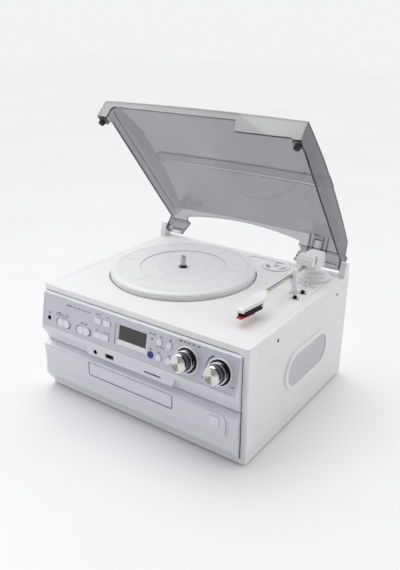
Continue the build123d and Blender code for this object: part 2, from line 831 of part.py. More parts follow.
with BuildPart() as preset_rocker:
    with BuildSketch(panel(flange_depth - 0.4)):
        with Locations((rocker_x, lower_row)):
            RectangleRounded(*rocker_size, button_corner - slip)
    extrude(amount=flange_depth - 0.4 + button_proud)
    fillet(preset_rocker.faces().sort_by(panel_out)[-1].edges(), radius=0.5)
    with BuildSketch(panel(-button_proud)):
        with Locations((rocker_x, lower_row)):
            Rectangle(1.0, rocker_size[1])
    extrude(amount=-0.4, mode=Mode.SUBTRACT)
    with BuildSketch(panel(flange_depth - 0.4)):
        with Locations((rocker_x, lower_row)):
            Rectangle(5.0, rocker_size[1] - 1.0)
    extrude(amount=-3.4)
    with BuildSketch(panel(flange_depth - 0.4)):
        with Locations((rocker_x - 8.0, lower_row), (rocker_x + 8.0, lower_row)):
            Rectangle(2.4, 3.0)
    extrude(amount=-(stem_end - flange_depth + 0.4))
finish(preset_rocker.part, "preset_rocker")

for name, (x, extra_depth) in slider_wells.items():
    skirt_depth = fascia_wall + slip + extra_depth
    with BuildPart() as slider:
        with BuildSketch(panel(skirt_depth)):
            with Locations((x, slider_row)):
                SlotOverall(slider_grip, slider_well[1] - 2 * slip)
        extrude(amount=skirt_depth + slider_proud)
        fillet(slider.faces().sort_by(panel_out)[-1].edges(), radius=0.5)
        # finger groove across the cap
        with BuildSketch(panel(-slider_proud)):
            with Locations((x, slider_row)):
                Rectangle(1.2, slider_well[1])
        extrude(amount=-0.5, mode=Mode.SUBTRACT)
        # blanking skirt that slides behind the panel
        with BuildSketch(panel(skirt_depth)):
            with Locations((x, slider_row)):
                Rectangle(slider_well[0] + 2 * (slider_travel + slip), slider_well[1] + 3.0)
        extrude(amount=-1.0)
    finish(slider.part, name)

knob_foot = 1.0
shaft_end = control_board_depth - 1.0
for name, x in (("tuning", tuning_x), ("volume", volume_x)):
    with BuildPart() as skirt:
        with BuildSketch(panel(-knob_foot)):
            with Locations((x, knob_row)):
                Circle(skirt_radius)
                Circle(drum_radius - 1.0, mode=Mode.SUBTRACT)
        extrude(amount=skirt_rise - knob_foot)
        fillet(skirt.edges().group_by(panel_out)[-1].sort_by(SortBy.RADIUS)[-1], radius=0.8)
    finish(skirt.part, f"{name}_skirt")
    with BuildPart() as knob:
        # drum, grip and shaft are one turned piece
        with BuildSketch(panel(-knob_foot)):
            with Locations((x, knob_row)):
                Circle(drum_radius - 1.0)
        extrude(amount=skirt_rise - knob_foot)
        with BuildSketch(panel(-skirt_rise)):
            with Locations((x, knob_row)):
                Circle(drum_radius)
        extrude(amount=drum_rise - skirt_rise)
        with BuildSketch(panel(-drum_rise)):
            with Locations((x, knob_row)):
                Circle(grip_radius)
        extrude(amount=grip_rise - drum_rise)
        fillet(knob.faces().sort_by(panel_out)[-1].edges(), radius=0.8)
        with BuildSketch(panel(-knob_foot)):
            with Locations((x, knob_row)):
                Circle(shaft_radius)
        extrude(amount=-(knob_foot + shaft_end))
    finish(knob.part, f"{name}_knob")

# ================================================================ lower fascia and CD drawer
def lower_outline(back):
    """Side outline of the lower fascia: sloping shoulder, hollow face, undercut chin, closed at `back`."""
    Polyline((back, lower_top), (groove_y, lower_top), (lower_front_y, lower_shoulder))
    ThreePointArc(
        (lower_front_y, lower_shoulder),
        (lower_waist_y, (lower_shoulder + lower_chin) / 2),
        (lower_front_y, lower_chin),
    )
    Polyline(
        (lower_front_y, lower_chin), (groove_y + 0.9, lower_bottom), (back, lower_bottom), (back, lower_top)
    )


drawer_mid = (drawer_left + drawer_right) / 2
drawer_width = drawer_right - drawer_left
drawer_z = drawer_bottom + drawer_height / 2

with BuildPart() as lower_fascia:
    with BuildSketch(across(fascia_left)):
        with BuildLine():
            lower_outline(front_y)
        make_face()
    extrude(amount=fascia_length)
    with BuildSketch(facing(front_y)):
        with Locations(((band_left + band_right) / 2, (band_bottom + band_top) / 2)):
            RectangleRounded(band_right - band_left, band_top - band_bottom, 7.0)
    extrude(amount=front_y - band_face_y)
    with BuildSketch(across(fascia_left + lower_wall)):
        with BuildLine():
            lower_outline(front_y + 2 * lower_wall)
        make_face()
        offset(amount=-lower_wall, kind=Kind.INTERSECTION)
    extrude(amount=fascia_length - 2 * lower_wall, mode=Mode.SUBTRACT)
    with BuildSketch(facing(front_y)):
        with Locations((drawer_mid, drawer_z)):
            RectangleRounded(drawer_width, drawer_height, drawer_corner)
        with Locations((eject_x, eject_z)):
            RectangleRounded(eject_size[0] + 2 * slip, eject_size[1] + 2 * slip, 2.0)
    extrude(amount=front_y - band_face_y, mode=Mode.SUBTRACT)
finish(lower_fascia.part, "lower_fascia")

tray_half = drawer_width / 2 - 2.2
tray_z = drawer_z - tray_sheet / 2
with BuildPart() as cd_tray:
    with BuildSketch(facing(band_face_y + 2.4)):
        with Locations((drawer_mid, drawer_z)):
            RectangleRounded(
                drawer_width - 2 * drawer_gap, drawer_height - 2 * drawer_gap, drawer_corner - drawer_gap
            )
    extrude(amount=2.4)
    with BuildSketch(level(tray_z)):
        with Locations((drawer_mid, band_face_y + 2.4 + tray_depth / 2)):
            Rectangle(2 * tray_half, tray_depth)
    extrude(amount=tray_sheet)
    disc_y = band_face_y + 2.4 + disc_radius + 6.0
    with BuildSketch(level(tray_z + tray_sheet)):
        with Locations((drawer_mid, disc_y)):
            Circle(disc_radius + 1.0)
    extrude(amount=-1.8, mode=Mode.SUBTRACT)
    with BuildSketch(level(tray_z + tray_sheet)):
        with Locations((drawer_mid, disc_y)):
            Circle(40.5)
    extrude(amount=-2.8, mode=Mode.SUBTRACT)
    # window for the hub and the pick-up, open to the back
    with BuildSketch(level(tray_z)):
        with Locations((drawer_mid, disc_y)):
            Circle(19.0)
        with Locations((drawer_mid, disc_y + 45.0)):
            Rectangle(30.0, 90.0)
    extrude(amount=tray_sheet, mode=Mode.SUBTRACT)
    # rack on the underside
    with BuildSketch(level(tray_z)):
        with Locations((drawer_mid - tray_half + 6.0, band_face_y + 2.4 + tray_depth / 2)):
            Rectangle(3.0, tray_depth - 12.0)
    extrude(amount=-1.6)
finish(cd_tray.part, "cd_tray")

with BuildPart() as eject_button:
    with BuildSketch(facing(front_y - 5.0)):
        with Locations((eject_x, eject_z)):
            RectangleRounded(eject_size[0], eject_size[1], 1.8)
    extrude(amount=front_y - 5.0 - band_face_y + 0.8)
    fillet(eject_button.faces().sort_by(Axis.Y)[0].edges(), radius=0.5)
    with BuildSketch(facing(front_y - 5.0)):
        with Locations((eject_x, eject_z)):
            Rectangle(eject_size[0] + 2 * flange_rim, eject_size[1] + 2 * flange_rim)
    extrude(amount=-flange_rim)
    with BuildSketch(facing(front_y - 5.0)):
        with Locations((eject_x, eject_z)):
            Rectangle(4.0, 4.0)
    extrude(amount=-12.0)
finish(eject_button.part, "eject_button")

loader_front = front_y + loader_start
loader_half = drawer_width / 2 + loader_wall
leg_places = [
    (drawer_mid + x, loader_front + y)
    for x in (-loader_half + loader_leg / 2, loader_half - loader_leg / 2)
    for y in (moulding_depth + loader_leg / 2, loader_length - loader_leg / 2)
]
with BuildPart() as cd_loader:
    with BuildSketch(level(loader_floor)):
        with Locations((drawer_mid, loader_front + loader_length / 2)):
            Rectangle(2 * loader_half, loader_length)
    extrude(amount=loader_top - loader_floor)
    with BuildSketch(facing(loader_front)):
        with Locations((drawer_mid, (loader_floor + loader_top) / 2)):
            Rectangle(drawer_width, loader_top - loader_floor - 2 * loader_wall)
    extrude(amount=-(loader_length - loader_wall), mode=Mode.SUBTRACT)
    # guide rails that the tray runs on
    with BuildSketch(level(loader_floor + loader_wall)):
        with Locations(
            (drawer_mid - drawer_width / 2 + 3.0, loader_front + loader_length / 2),
            (drawer_mid + drawer_width / 2 - 3.0, loader_front + loader_length / 2),
        ):
            Rectangle(6.0, loader_length)
    extrude(amount=tray_z - slip - loader_floor - loader_wall - 0.0)
    # clearance groove for the rack
    with BuildSketch(level(tray_z - slip)):
        with Locations((drawer_mid - tray_half + 6.0, loader_front + loader_length / 2)):
            Rectangle(4.0, loader_length)
    extrude(amount=-2.0, mode=Mode.SUBTRACT)
    # disc hub with its motor, carried on the floor of the chassis
    with BuildSketch(level(loader_floor + loader_wall)):
        with Locations((drawer_mid, disc_y)):
            Circle(12.0)
    extrude(amount=tray_z - loader_floor - loader_wall - 1.0)
    # open top between the side walls
    with BuildSketch(level(loader_top)):
        with Locations((drawer_mid, loader_front + loader_length / 2 + 20.0)):
            Rectangle(drawer_width - 20.0, loader_length - 60.0)
    extrude(amount=-loader_wall, mode=Mode.SUBTRACT)
    with BuildSketch(level(base_top)):
        with Locations(*leg_places):
            Rectangle(loader_leg, loader_leg)
    extrude(amount=loader_floor - base_top)
    # bracket for the push switch behind the open and close button
    with BuildSketch(level(loader_floor)):
        with Locations(((drawer_mid + loader_half + eject_x + 6.0) / 2, loader_front + 14.0)):
            Rectangle(eject_x + 6.0 - drawer_mid - loader_half, 3.0)
    extrude(amount=20.0)
finish(cd_loader.part, "cd_loader")

with BuildPart() as main_board:
    with BuildSketch(level(base_top + 6.0)):
        with Locations((0, mid_y + 75.0)):
            Rectangle(230.0, 80.0)
    extrude(amount=pcb)
    with BuildSketch(level(base_top)):
        with Locations((0, mid_y + 75.0)):
            with GridLocations(216.0, 66.0, 2, 2):
                Circle(3.0)
    extrude(amount=6.0)
    with BuildSketch(level(base_top + 6.0 + pcb)):
        with Locations((20.0, mid_y + 84.0)):
            with GridLocations(5.0, 0, 8, 1):
                Rectangle(1.6, 24.0)
            Rectangle(40.0, 3.0)
    extrude(amount=22.0)
finish(main_board.part, "main_board")

# ================================================================ speakers
mesh_length = grille_length - 2 * grille_rim
mesh_height = grille_height - 2 * grille_rim
with BuildPart() as speaker_grilles:
    for side in (-1, 1):
        # ring that stands proud of the board, with a collar set into it
        with BuildSketch(across(side * side_x)):
            with Locations((speaker_y, speaker_z)):
                SlotOverall(grille_length, grille_height)
        extrude(amount=side * grille_proud)
        rim_edges = speaker_grilles.faces().sort_by(Axis.X)[-1 if side > 0 else 0].edges()
        fillet(rim_edges, radius=1.4)
        with BuildSketch(across(side * (side_x - grille_collar))):
            with Locations((speaker_y, speaker_z)):
                SlotOverall(mesh_length + 2 * grille_step, mesh_height + 2 * grille_step)
        extrude(amount=side * grille_collar)
        with BuildSketch(across(side * (side_x + grille_proud))):
            with Locations((speaker_y, speaker_z)):
                SlotOverall(mesh_length, mesh_height)
        extrude(amount=-side * (grille_proud - grille_recess + mesh_thickness), mode=Mode.SUBTRACT)
        with BuildSketch(across(side * side_x)):
            with Locations((speaker_y, speaker_z)):
                SlotOverall(mesh_length - 4.0, mesh_height - 4.0)
        extrude(amount=-side * grille_collar, mode=Mode.SUBTRACT)
finish(speaker_grilles.part, "speaker_grilles")

mesh_face = side_x + grille_recess
with BuildPart() as grille_mesh:
    for side in (-1, 1):
        with BuildSketch(across(side * (mesh_face - mesh_thickness))):
            with Locations((speaker_y, speaker_z)):
                SlotOverall(mesh_length, mesh_height)
        extrude(amount=side * mesh_thickness)
finish(grille_mesh.part, "grille_mesh")

with BuildPart() as speakers:
    for side in (-1, 1):
        with BuildSketch(across(side * inner_x)):
            with Locations((speaker_y, speaker_z)):
                SlotOverall(grille_length + 6.0, grille_height + 4.0)
                SlotOverall(grille_length - 14.0, grille_height - 14.0, mode=Mode.SUBTRACT)
        extrude(amount=-side * speaker_frame)
        with BuildSketch(across(side * (inner_x - speaker_frame))):
            with Locations((speaker_y, speaker_z)):
                SlotOverall(grille_length - 8.0, grille_height - 8.0)
        with BuildSketch(across(side * (inner_x - speaker_frame - 12.0))):
            with Locations((speaker_y, speaker_z)):
                SlotOverall(magnet_radius * 2 - 3.9, magnet_radius * 2 - 4.0)
        loft()
        with BuildSketch(across(side * (inner_x - speaker_frame - 12.0))):
            with Locations((speaker_y, speaker_z)):
                Circle(magnet_radius)
        extrude(amount=-side * magnet_length)
finish(speakers.part, "speakers")

# ================================================================ turntable
well_bottom = deck_top - well_depth
hub_radius = 13.0
hub_bottom = well_bottom + 2.4
with BuildPart() as spindle:
    with BuildSketch(level(well_bottom)):
        with Locations((platter_x, platter_y)):
            Circle(spigot_radius + 4.0)
    extrude(amount=2.1)
    with BuildSketch(level(well_bottom - well_floor - 3.0)):
        with Locations((platter_x, platter_y)):
            Circle(spigot_radius - 0.1)
    extrude(amount=well_floor + 3.0)
    with BuildSketch(level(well_bottom)):
        with Locations((platter_x, platter_y)):
            Circle(journal_radius)
    extrude(amount=well_depth + platter_height - dish_depth + 0.4)
    with BuildSketch(level(deck_top + platter_height - dish_depth + 0.4)):
        with Locations((platter_x, platter_y)):
            Circle(5.4)
    extrude(amount=0.8)
    with BuildSketch(level(deck_top + platter_height - dish_depth + 1.2)):
        with Locations((platter_x, platter_y)):
            Circle(spindle_radius)
    extrude(amount=spindle_tip - platter_height + dish_depth - 1.2)
    chamfer(spindle.edges().group_by(Axis.Z)[-1], length=1.2)
finish(spindle.part, "spindle")

platter_top = deck_top + platter_height
rim_bottom = deck_top - platter_drop
with BuildPart() as platter:
    with BuildSketch(turning(platter_x, platter_y)):
        with BuildLine():
            rim = platter_radius
            bore = journal_radius + bearing_clearance
            Polyline(
                (bore, platter_top - dish_depth),
                (dish_radius - 26.0, platter_top - dish_depth + 0.6),
                (dish_radius, platter_top - 0.8),
                (dish_radius, platter_top),
                (groove_radius - 0.6, platter_top),
                (groove_radius, platter_top - 0.7),
                (groove_radius + 0.6, platter_top),
                (groove_radius + 4.0, platter_top - 0.2),
            )
            Spline(
                (groove_radius + 4.0, platter_top - 0.2),
                (rim - 2.4, platter_top - 1.2),
                (rim, platter_top - 4.6),
                tangents=((1, -0.05), (0, -1)),
            )
            Polyline(
                (rim, platter_top - 4.6),
                (rim, rim_bottom),
                (rim - 3.0, rim_bottom),
                (rim - 3.0, platter_top - 5.4),
                (belt_ring_radius, platter_top - 3.6),
                (belt_ring_radius, well_bottom + 2.0),
                (belt_ring_radius - belt_ring_wall, well_bottom + 2.0),
                (belt_ring_radius - belt_ring_wall, platter_top - 3.8),
                (dish_radius - 22.0, platter_top - dish_depth - platter_sheet),
                (hub_radius, platter_top - dish_depth - platter_sheet),
                (hub_radius, hub_bottom),
                (bore, hub_bottom),
                (bore, platter_top - dish_depth),
            )
        make_face()
    revolve(axis=Axis((platter_x, platter_y, 0), (0, 0, 1)))
    # short radial marks moulded into the record area
    with BuildSketch(level(platter_top)):
        with Locations((platter_x, platter_y)):
            with PolarLocations((dish_radius + groove_radius) / 2, 6, start_angle=18):
                Rectangle(22.0, 0.8)
    extrude(amount=-0.3, mode=Mode.SUBTRACT)
finish(platter.part, "platter")

belt_z = well_bottom + 2.4
with BuildPart() as motor_pulley:
    with BuildSketch(level(belt_z - 1.6)):
        with Locations((motor_x, motor_y)):
            Circle(pulley_radius + 1.2)
    extrude(amount=1.2)
    with BuildSketch(level(belt_z - 0.4)):
        with Locations((motor_x, motor_y)):
            Circle(pulley_radius)
    extrude(amount=belt_height + 0.8)
    with BuildSketch(level(belt_z + belt_height + 0.4)):
        with Locations((motor_x, motor_y)):
            Circle(pulley_radius + 1.2)
    extrude(amount=1.2)
    with BuildSketch(level(belt_z - 1.6)):
        with Locations((motor_x, motor_y)):
            Circle(1.05)
    extrude(amount=belt_height + 4.0, mode=Mode.SUBTRACT)
finish(motor_pulley.part, "motor_pulley")

motor_top = well_bottom - well_floor
with BuildPart() as deck_motor:
    with BuildSketch(level(motor_top - motor_length)):
        with Locations((motor_x, motor_y)):
            Circle(motor_radius)
    extrude(amount=motor_length)
    fillet(deck_motor.edges().group_by(Axis.Z)[0], radius=1.5)
    with BuildSketch(level(motor_top)):
        with Locations((motor_x, motor_y)):
            Circle(1.0)
    extrude(amount=belt_z + belt_height + 1.0 - motor_top)
finish(deck_motor.part, "deck_motor")

with BuildPart() as drive_belt:
    with BuildSketch(level(belt_z)):
        with BuildSketch(level(belt_z), mode=Mode.PRIVATE) as belt_outside:
            with Locations((platter_x, platter_y)):
                Circle(belt_ring_radius + slip + belt_thickness)
            with Locations((motor_x, motor_y)):
                Circle(pulley_radius + slip + belt_thickness)
            make_hull()
        with BuildSketch(level(belt_z), mode=Mode.PRIVATE) as belt_inside:
            with Locations((platter_x, platter_y)):
                Circle(belt_ring_radius + slip)
            with Locations((motor_x, motor_y)):
                Circle(pulley_radius + slip)
            make_hull()
        add(belt_outside.sketch)
        add(belt_inside.sketch, mode=Mode.SUBTRACT)
    extrude(amount=belt_height)
finish(drive_belt.part, "drive_belt")

for name, place in lever_holes.items():
    with BuildPart() as lever:
        with BuildSketch(level(deck_under - slip - 1.2)):
            with Locations(place):
                Rectangle(18.0, 7.0)
        extrude(amount=1.2)
        with BuildSketch(level(deck_under - slip)):
            with Locations(place):
                Rectangle(3.4, lever_slot[1] - 2 * slip)
        extrude(amount=slip + deck_sheet)
        with BuildSketch(level(deck_top)):
            with Locations(place):
                Circle(2.6)
        extrude(amount=3.0)
        fillet(lever.edges().group_by(Axis.Z)[-1], radius=0.6)
    finish(lever.part, name)

with BuildPart() as adaptor:
    with BuildSketch(level(deck_top - adaptor_well_depth)):
        with Locations((adaptor_x, adaptor_y)):
            Circle(adaptor_radius)
            Circle(spindle_radius + 0.05, mode=Mode.SUBTRACT)
    extrude(amount=adaptor_thickness)
    with BuildSketch(level(deck_top - adaptor_well_depth + adaptor_thickness)):
        with Locations((adaptor_x, adaptor_y)):
            with PolarLocations(12.0, 3, start_angle=-20):
                SlotOverall(13.0, 5.0, rotation=90)
    extrude(amount=-adaptor_thickness, mode=Mode.SUBTRACT)
    fillet(adaptor.edges().group_by(Axis.Z)[-1].sort_by(SortBy.LENGTH)[-1], radius=0.5)
finish(adaptor.part, "adaptor_45")

# ================================================================ tonearm
sunk_top = deck_top - panel_sink
arm_z = deck_top + arm_height
with BuildPart() as tonearm_base:
    with BuildSketch(turning(arm_x, arm_y)):
        with BuildLine():
            Polyline(
                (0, sunk_top - deck_sheet - 4.0),
                (spigot_radius - 0.1, sunk_top - deck_sheet - 4.0),
                (spigot_radius - 0.1, sunk_top),
                (arm_base_radius, sunk_top),
                (arm_base_radius, sunk_top + arm_base_height - 2.0),
                (arm_base_radius - 2.0, sunk_top + arm_base_height),
                (arm_column_radius + 3.0, sunk_top + arm_base_height + 0.6),
                (arm_column_radius, sunk_top + arm_base_height + 3.0),
                (arm_column_radius, deck_top + arm_column_top),
                (swivel_radius, deck_top + arm_column_top),
                (swivel_radius, deck_top + arm_column_top + housing_floor),
                (0, deck_top + arm_column_top + housing_floor),
                close=True,
            )
        make_face()
    revolve(axis=Axis((arm_x, arm_y, 0), (0, 0, 1)))
finish(tonearm_base.part, "tonearm_base")

housing_bottom = deck_top + arm_column_top + slip
housing_top = housing_bottom + housing_height
housing_mid_y = arm_y + (housing_back - housing_front) / 2
housing_depth = housing_front + housing_back
slot_bottom = housing_bottom + housing_floor
slot_top = housing_top - housing_wall
with BuildPart() as pivot_housing:
    with BuildSketch(level(housing_bottom)):
        with Locations((arm_x, housing_mid_y)):
            RectangleRounded(housing_width, housing_depth, 2.0)
    extrude(amount=housing_height)
    chamfer(pivot_housing.edges().group_by(Axis.Z)[-1], length=1.6)
    # slot that the arm carrier rocks in, open at the front and, beyond the roof, at the top
    with BuildSketch(across(tube_x - carrier_width / 2 - slip)):
        with BuildLine():
            Polyline(
                (arm_y + housing_back - housing_wall, slot_bottom),
                (arm_y + housing_back - housing_wall, slot_top),
                (arm_y - housing_roof, slot_top),
                (arm_y - housing_roof - 2.0, housing_top),
                (arm_y - housing_front, housing_top),
                (arm_y - housing_front, slot_bottom),
                close=True,
            )
        make_face()
    extrude(amount=carrier_width + 2 * slip, mode=Mode.SUBTRACT)
    # the cheeks slope down to the front
    with BuildSketch(across(arm_x - housing_width / 2)):
        with BuildLine():
            Polyline(
                (arm_y - housing_roof - 2.0, housing_top),
                (arm_y - housing_front, housing_top),
                (arm_y - housing_front, arm_z + carrier_half_height),
                close=True,
            )
        make_face()
    extrude(amount=housing_width, mode=Mode.SUBTRACT)
    with BuildSketch(level(housing_bottom)):
        with Locations((arm_x, arm_y)):
            Circle(swivel_radius + bearing_clearance)
    extrude(amount=housing_floor, mode=Mode.SUBTRACT)
    with BuildSketch(across(arm_x)):
        with Locations((arm_y, arm_z)):
            Circle(carrier_pin_radius + bearing_clearance)
    extrude(amount=housing_width / 2, both=True, mode=Mode.SUBTRACT)
finish(pivot_housing.part, "pivot_housing")

socket_depth = 10.0
with BuildPart() as arm_carrier:
    with BuildSketch(across(tube_x - carrier_width / 2)):
        with BuildLine():
            Polyline(
                (arm_y + 2.6, arm_z - 0.4),
                (arm_y + 2.6, arm_z + carrier_half_height + 2.0),
                (arm_y - 1.0, arm_z + carrier_half_height + 5.0),
                (arm_y - 8.0, arm_z + carrier_half_height + 4.2),
                (arm_y - housing_roof - 1.0, arm_z + carrier_half_height + 2.0),
                (arm_y - carrier_reach, arm_z + carrier_half_height),
                (arm_y - carrier_reach, arm_z - carrier_half_height),
                (arm_y - housing_front - 2 * slip, arm_z - carrier_half_height),
                (arm_y - housing_front - 2 * slip, slot_bottom + slip),
                (arm_y - 3.0, slot_bottom + slip),
                close=True,
            )
        make_face()
    extrude(amount=carrier_width)
    front_face = arm_carrier.faces().sort_by(Axis.Y)[0]
    chamfer(front_face.edges(), length=1.0)
    with BuildSketch(facing(arm_y - carrier_reach)):
        with Locations((tube_x, arm_z)):
            Circle(tube_radius)
    extrude(amount=-socket_depth, mode=Mode.SUBTRACT)
    with BuildSketch(across(arm_x)):
        with Locations((arm_y, arm_z)):
            Circle(carrier_pin_radius)
    extrude(amount=housing_width / 2 - 0.4, both=True)
finish(arm_carrier.part, "arm_carrier")

tube_start = carrier_reach - socket_depth
neck_depth = 8.0
with BuildPart() as arm_tube:
    with BuildSketch(facing(arm_y - tube_start)):
        with Locations((tube_x, arm_z)):
            Circle(tube_radius)
            Circle(tube_bore, mode=Mode.SUBTRACT)
    extrude(amount=tube_end + neck_depth - tube_start)
finish(arm_tube.part, "arm_tube")

shell_y = arm_y - tube_end
shell_front = shell_y - shell_length
shell_roof = deck_top + shell_top
shell_under = deck_top + shell_bottom
with BuildPart() as head_shell:
    # plan: narrow neck, wide shoulders, tapering to the nose
    with BuildSketch(level(deck_top)):
        with BuildLine():
            Polyline(
                (tube_x - neck_width / 2, shell_y),
                (tube_x - neck_width / 2, shell_y - 8.0),
                (tube_x - shell_width / 2, shell_y - 15.0),
                (tube_x - shell_width / 2 + 1.2, shell_y - 20.0),
                (tube_x - nose_width / 2 - 1.0, shell_front + 2.0),
                (tube_x - nose_width / 2, shell_front),
                (tube_x + nose_width / 2, shell_front),
                (tube_x + nose_width / 2 + 1.0, shell_front + 2.0),
                (tube_x + shell_width / 2 - 1.2, shell_y - 14.0),
                (tube_x + shell_width / 2 - 1.8, shell_y - 10.0),
                (tube_x + neck_width / 2, shell_y - 6.0),
                (tube_x + neck_width / 2, shell_y),
                close=True,
            )
        make_face()
    extrude(amount=rest_top, taper=shell_draft)
    # side outline: the neck sleeves the tube, the shell drops forward to a thin nose
    with BuildSketch(across(tube_x - shell_width)):
        with BuildLine():
            Polyline(
                (shell_y, arm_z - tube_radius - 1.0),
                (shell_y, arm_z + tube_radius + 1.0),
                (shell_y - 6.0, arm_z + tube_radius + 1.0),
                (shell_y - 15.0, shell_roof + 0.4),
                (shell_front + 4.0, shell_roof),
                (shell_front, deck_top + shell_nose + 2.4),
                (shell_front, deck_top + shell_nose),
                (shell_front + 3.0, shell_under),
                (shell_y - 24.0, shell_under),
                (shell_y - 12.0, arm_z - tube_radius - 1.0),
                close=True,
            )
        make_face()
    extrude(amount=2 * shell_width, mode=Mode.INTERSECT)
    with BuildSketch(facing(shell_y)):
        with Locations((tube_x, arm_z)):
            Circle(tube_radius)
    extrude(amount=neck_depth, mode=Mode.SUBTRACT)
    # finger lift
    with BuildSketch(level(shell_under)):
        with BuildLine():
            Polyline(
                (tube_x + 4.0, shell_y - 30.0),
                (tube_x + 13.0, shell_y - 23.0),
                (tube_x + 11.4, shell_y - 19.6),
                (tube_x + 4.0, shell_y - 21.0),
                close=True,
            )
        make_face()
    extrude(amount=1.4)
finish(head_shell.part, "head_shell")

cartridge_front = shell_front + 3.2
cartridge_bottom = shell_under - cartridge_height
with BuildPart() as cartridge:
    with BuildSketch(across(tube_x - cartridge_width / 2)):
        with BuildLine():
            Polyline(
                (cartridge_front, shell_under),
                (cartridge_front + cartridge_length, shell_under),
                (cartridge_front + cartridge_length + 3.0, cartridge_bottom + 0.6),
                (cartridge_front + cartridge_length - 1.0, cartridge_bottom - 1.4),
                (cartridge_front + 18.0, cartridge_bottom),
                (cartridge_front - 1.0, cartridge_bottom),
                close=True,
            )
        make_face()
    extrude(amount=cartridge_width)
finish(cartridge.part, "cartridge")

with BuildPart() as stylus:
    with BuildSketch(across(tube_x - stylus_width / 2)):
        with BuildLine():
            Polyline(
                (cartridge_front - 4.6, cartridge_bottom),
                (cartridge_front + 17.0, cartridge_bottom),
                (cartridge_front + 10.0, cartridge_bottom - 1.0),
                (cartridge_front + 0.6, cartridge_bottom - stylus_height),
                (cartridge_front - 2.4, cartridge_bottom - stylus_height + 0.5),
                close=True,
            )
        make_face()
    extrude(amount=stylus_width)
    with BuildSketch(level(cartridge_bottom - stylus_height + 0.6)):
        with Locations((tube_x, cartridge_front + 3.6)):
            Circle(0.5)
    extrude(amount=-0.9, taper=14)
finish(stylus.part, "stylus")

rest_y = arm_y - rest_distance
cradle_top = arm_z - tube_radius - slip
with BuildPart() as arm_rest:
    with BuildSketch(level(sunk_top - deck_sheet - 1.0)):
        with Locations((rest_x, rest_y)):
            Rectangle(rest_side - 0.2, rest_side - 0.2)
    extrude(amount=deck_sheet + 1.0)
    with BuildSketch(level(sunk_top)):
        with Locations((rest_x - 1.0, rest_y)):
            RectangleRounded(rest_side + 5.0, rest_side + 3.4, 1.5)
    extrude(amount=rest_plinth)
    # post with a tall outer prong and a low ledge under the tube
    with BuildSketch(facing(rest_y + rest_side / 2)):
        with BuildLine():
            Polyline(
                (rest_x - rest_side / 2, sunk_top + rest_plinth),
                (rest_x - rest_side / 2, cradle_top - 7.0),
                (tube_x - tube_radius - 1.4, cradle_top - 2.4),
                (tube_x - tube_radius - 1.4, cradle_top),
                (rest_x - rest_side / 2, cradle_top),
                (rest_x - rest_side / 2, deck_top + rest_top - 1.4),
                (rest_x - rest_side / 2 + 1.2, deck_top + rest_top),
                (rest_x + rest_side / 2, deck_top + rest_top),
                (rest_x + rest_side / 2, sunk_top + rest_plinth),
                close=True,
            )
        make_face()
    extrude(amount=rest_side)
finish(arm_rest.part, "arm_rest")

# ================================================================ hinged cover
lean = radians(cover_angle)
cover_plane = Plane(
    origin=(0, hinge_y, deck_top + hinge_height), x_dir=(1, 0, 0), z_dir=(0, sin(lean), cos(lean))
)
cover_out = Axis(cover_plane.origin, cover_plane.z_dir)


def cover_across(x):
    """Plane that looks to the right inside the cover: local X runs to the hinge, local Y out of its top."""
    return Plane(origin=cover_plane.from_local_coords((x, 0, 0)), x_dir=cover_plane.y_dir, z_dir=(1, 0, 0))


def cover_facing(reach):
    """Plane that looks at the cover's front, a reach from the hinge: local X right, local Y out of its top."""
    centre = cover_plane.from_local_coords((0, -reach, 0))
    return Plane(origin=centre, x_dir=(1, 0, 0), z_dir=-cover_plane.y_dir)


def cover_level(height):
    """Plane parallel to the cover's top, a height above the hinge axis."""
    return cover_plane.offset(height)


skin = 20.0  # how far the outline runs on below the edge before it is trimmed


def cover_side(extra=0.0):
    """Side outline of the cover: hinge flange, sloping back, bowed top, front wall."""
    Polyline(
        (2.4, -skin), (3.2, 0), (6.8, 19.8 + extra), (-4.2, 18.2 + extra), (-14.2, 32.7 + extra)
    )
    ThreePointArc((-14.2, 32.7 + extra), (-96.0, 37.0 + extra), (-177.8, 34.9 + extra))
    ThreePointArc(
        (-177.8, 34.9 + extra), (-210.5, 30.9 + extra), (-cover_length, cover_front_height + extra)
    )
    Polyline((-cover_length, cover_front_height + extra), (-cover_length + 5.6, -skin), (2.4, -skin))


crown_span = 6.0  # degrees, wider than the cover seen from the middle of its side-to-side bow
crown_axis = Axis(cover_plane.from_local_coords((0, 0, -cover_crown_radius)), cover_plane.y_dir)
crown_start = Plane(
    origin=cover_plane.from_local_coords(
        (
            -cover_crown_radius * sin(radians(crown_span / 2)),
            0,
            cover_crown_radius * cos(radians(crown_span / 2)) - cover_crown_radius,
        )
    ),
    x_dir=cover_plane.y_dir,
    z_dir=cover_plane.x_dir * cos(radians(crown_span / 2)) + cover_plane.z_dir * sin(radians(crown_span / 2)),
)


def cover_section(half):
    """Front view of the cover's width: upright walls with a long bevel up to the top."""
    Polyline(
        (-half, -2 * skin),
        (-half, cover_bevel_start),
        (-half + cover_bevel_inset, 2 * skin + 4.0),
        (half - cover_bevel_inset, 2 * skin + 4.0),
        (half, cover_bevel_start),
        (half, -2 * skin),
        close=True,
    )


cover_span = cover_length + 40.0
with BuildPart() as cover_outside:
    with BuildSketch(crown_start):
        with BuildLine():
            cover_side()
        make_face()
    revolve(axis=crown_axis, revolution_arc=crown_span)
    with BuildSketch(cover_facing(-20.0)):
        with BuildLine():
            cover_section(cover_half_width)
        make_face()
    extrude(amount=cover_span, mode=Mode.INTERSECT)

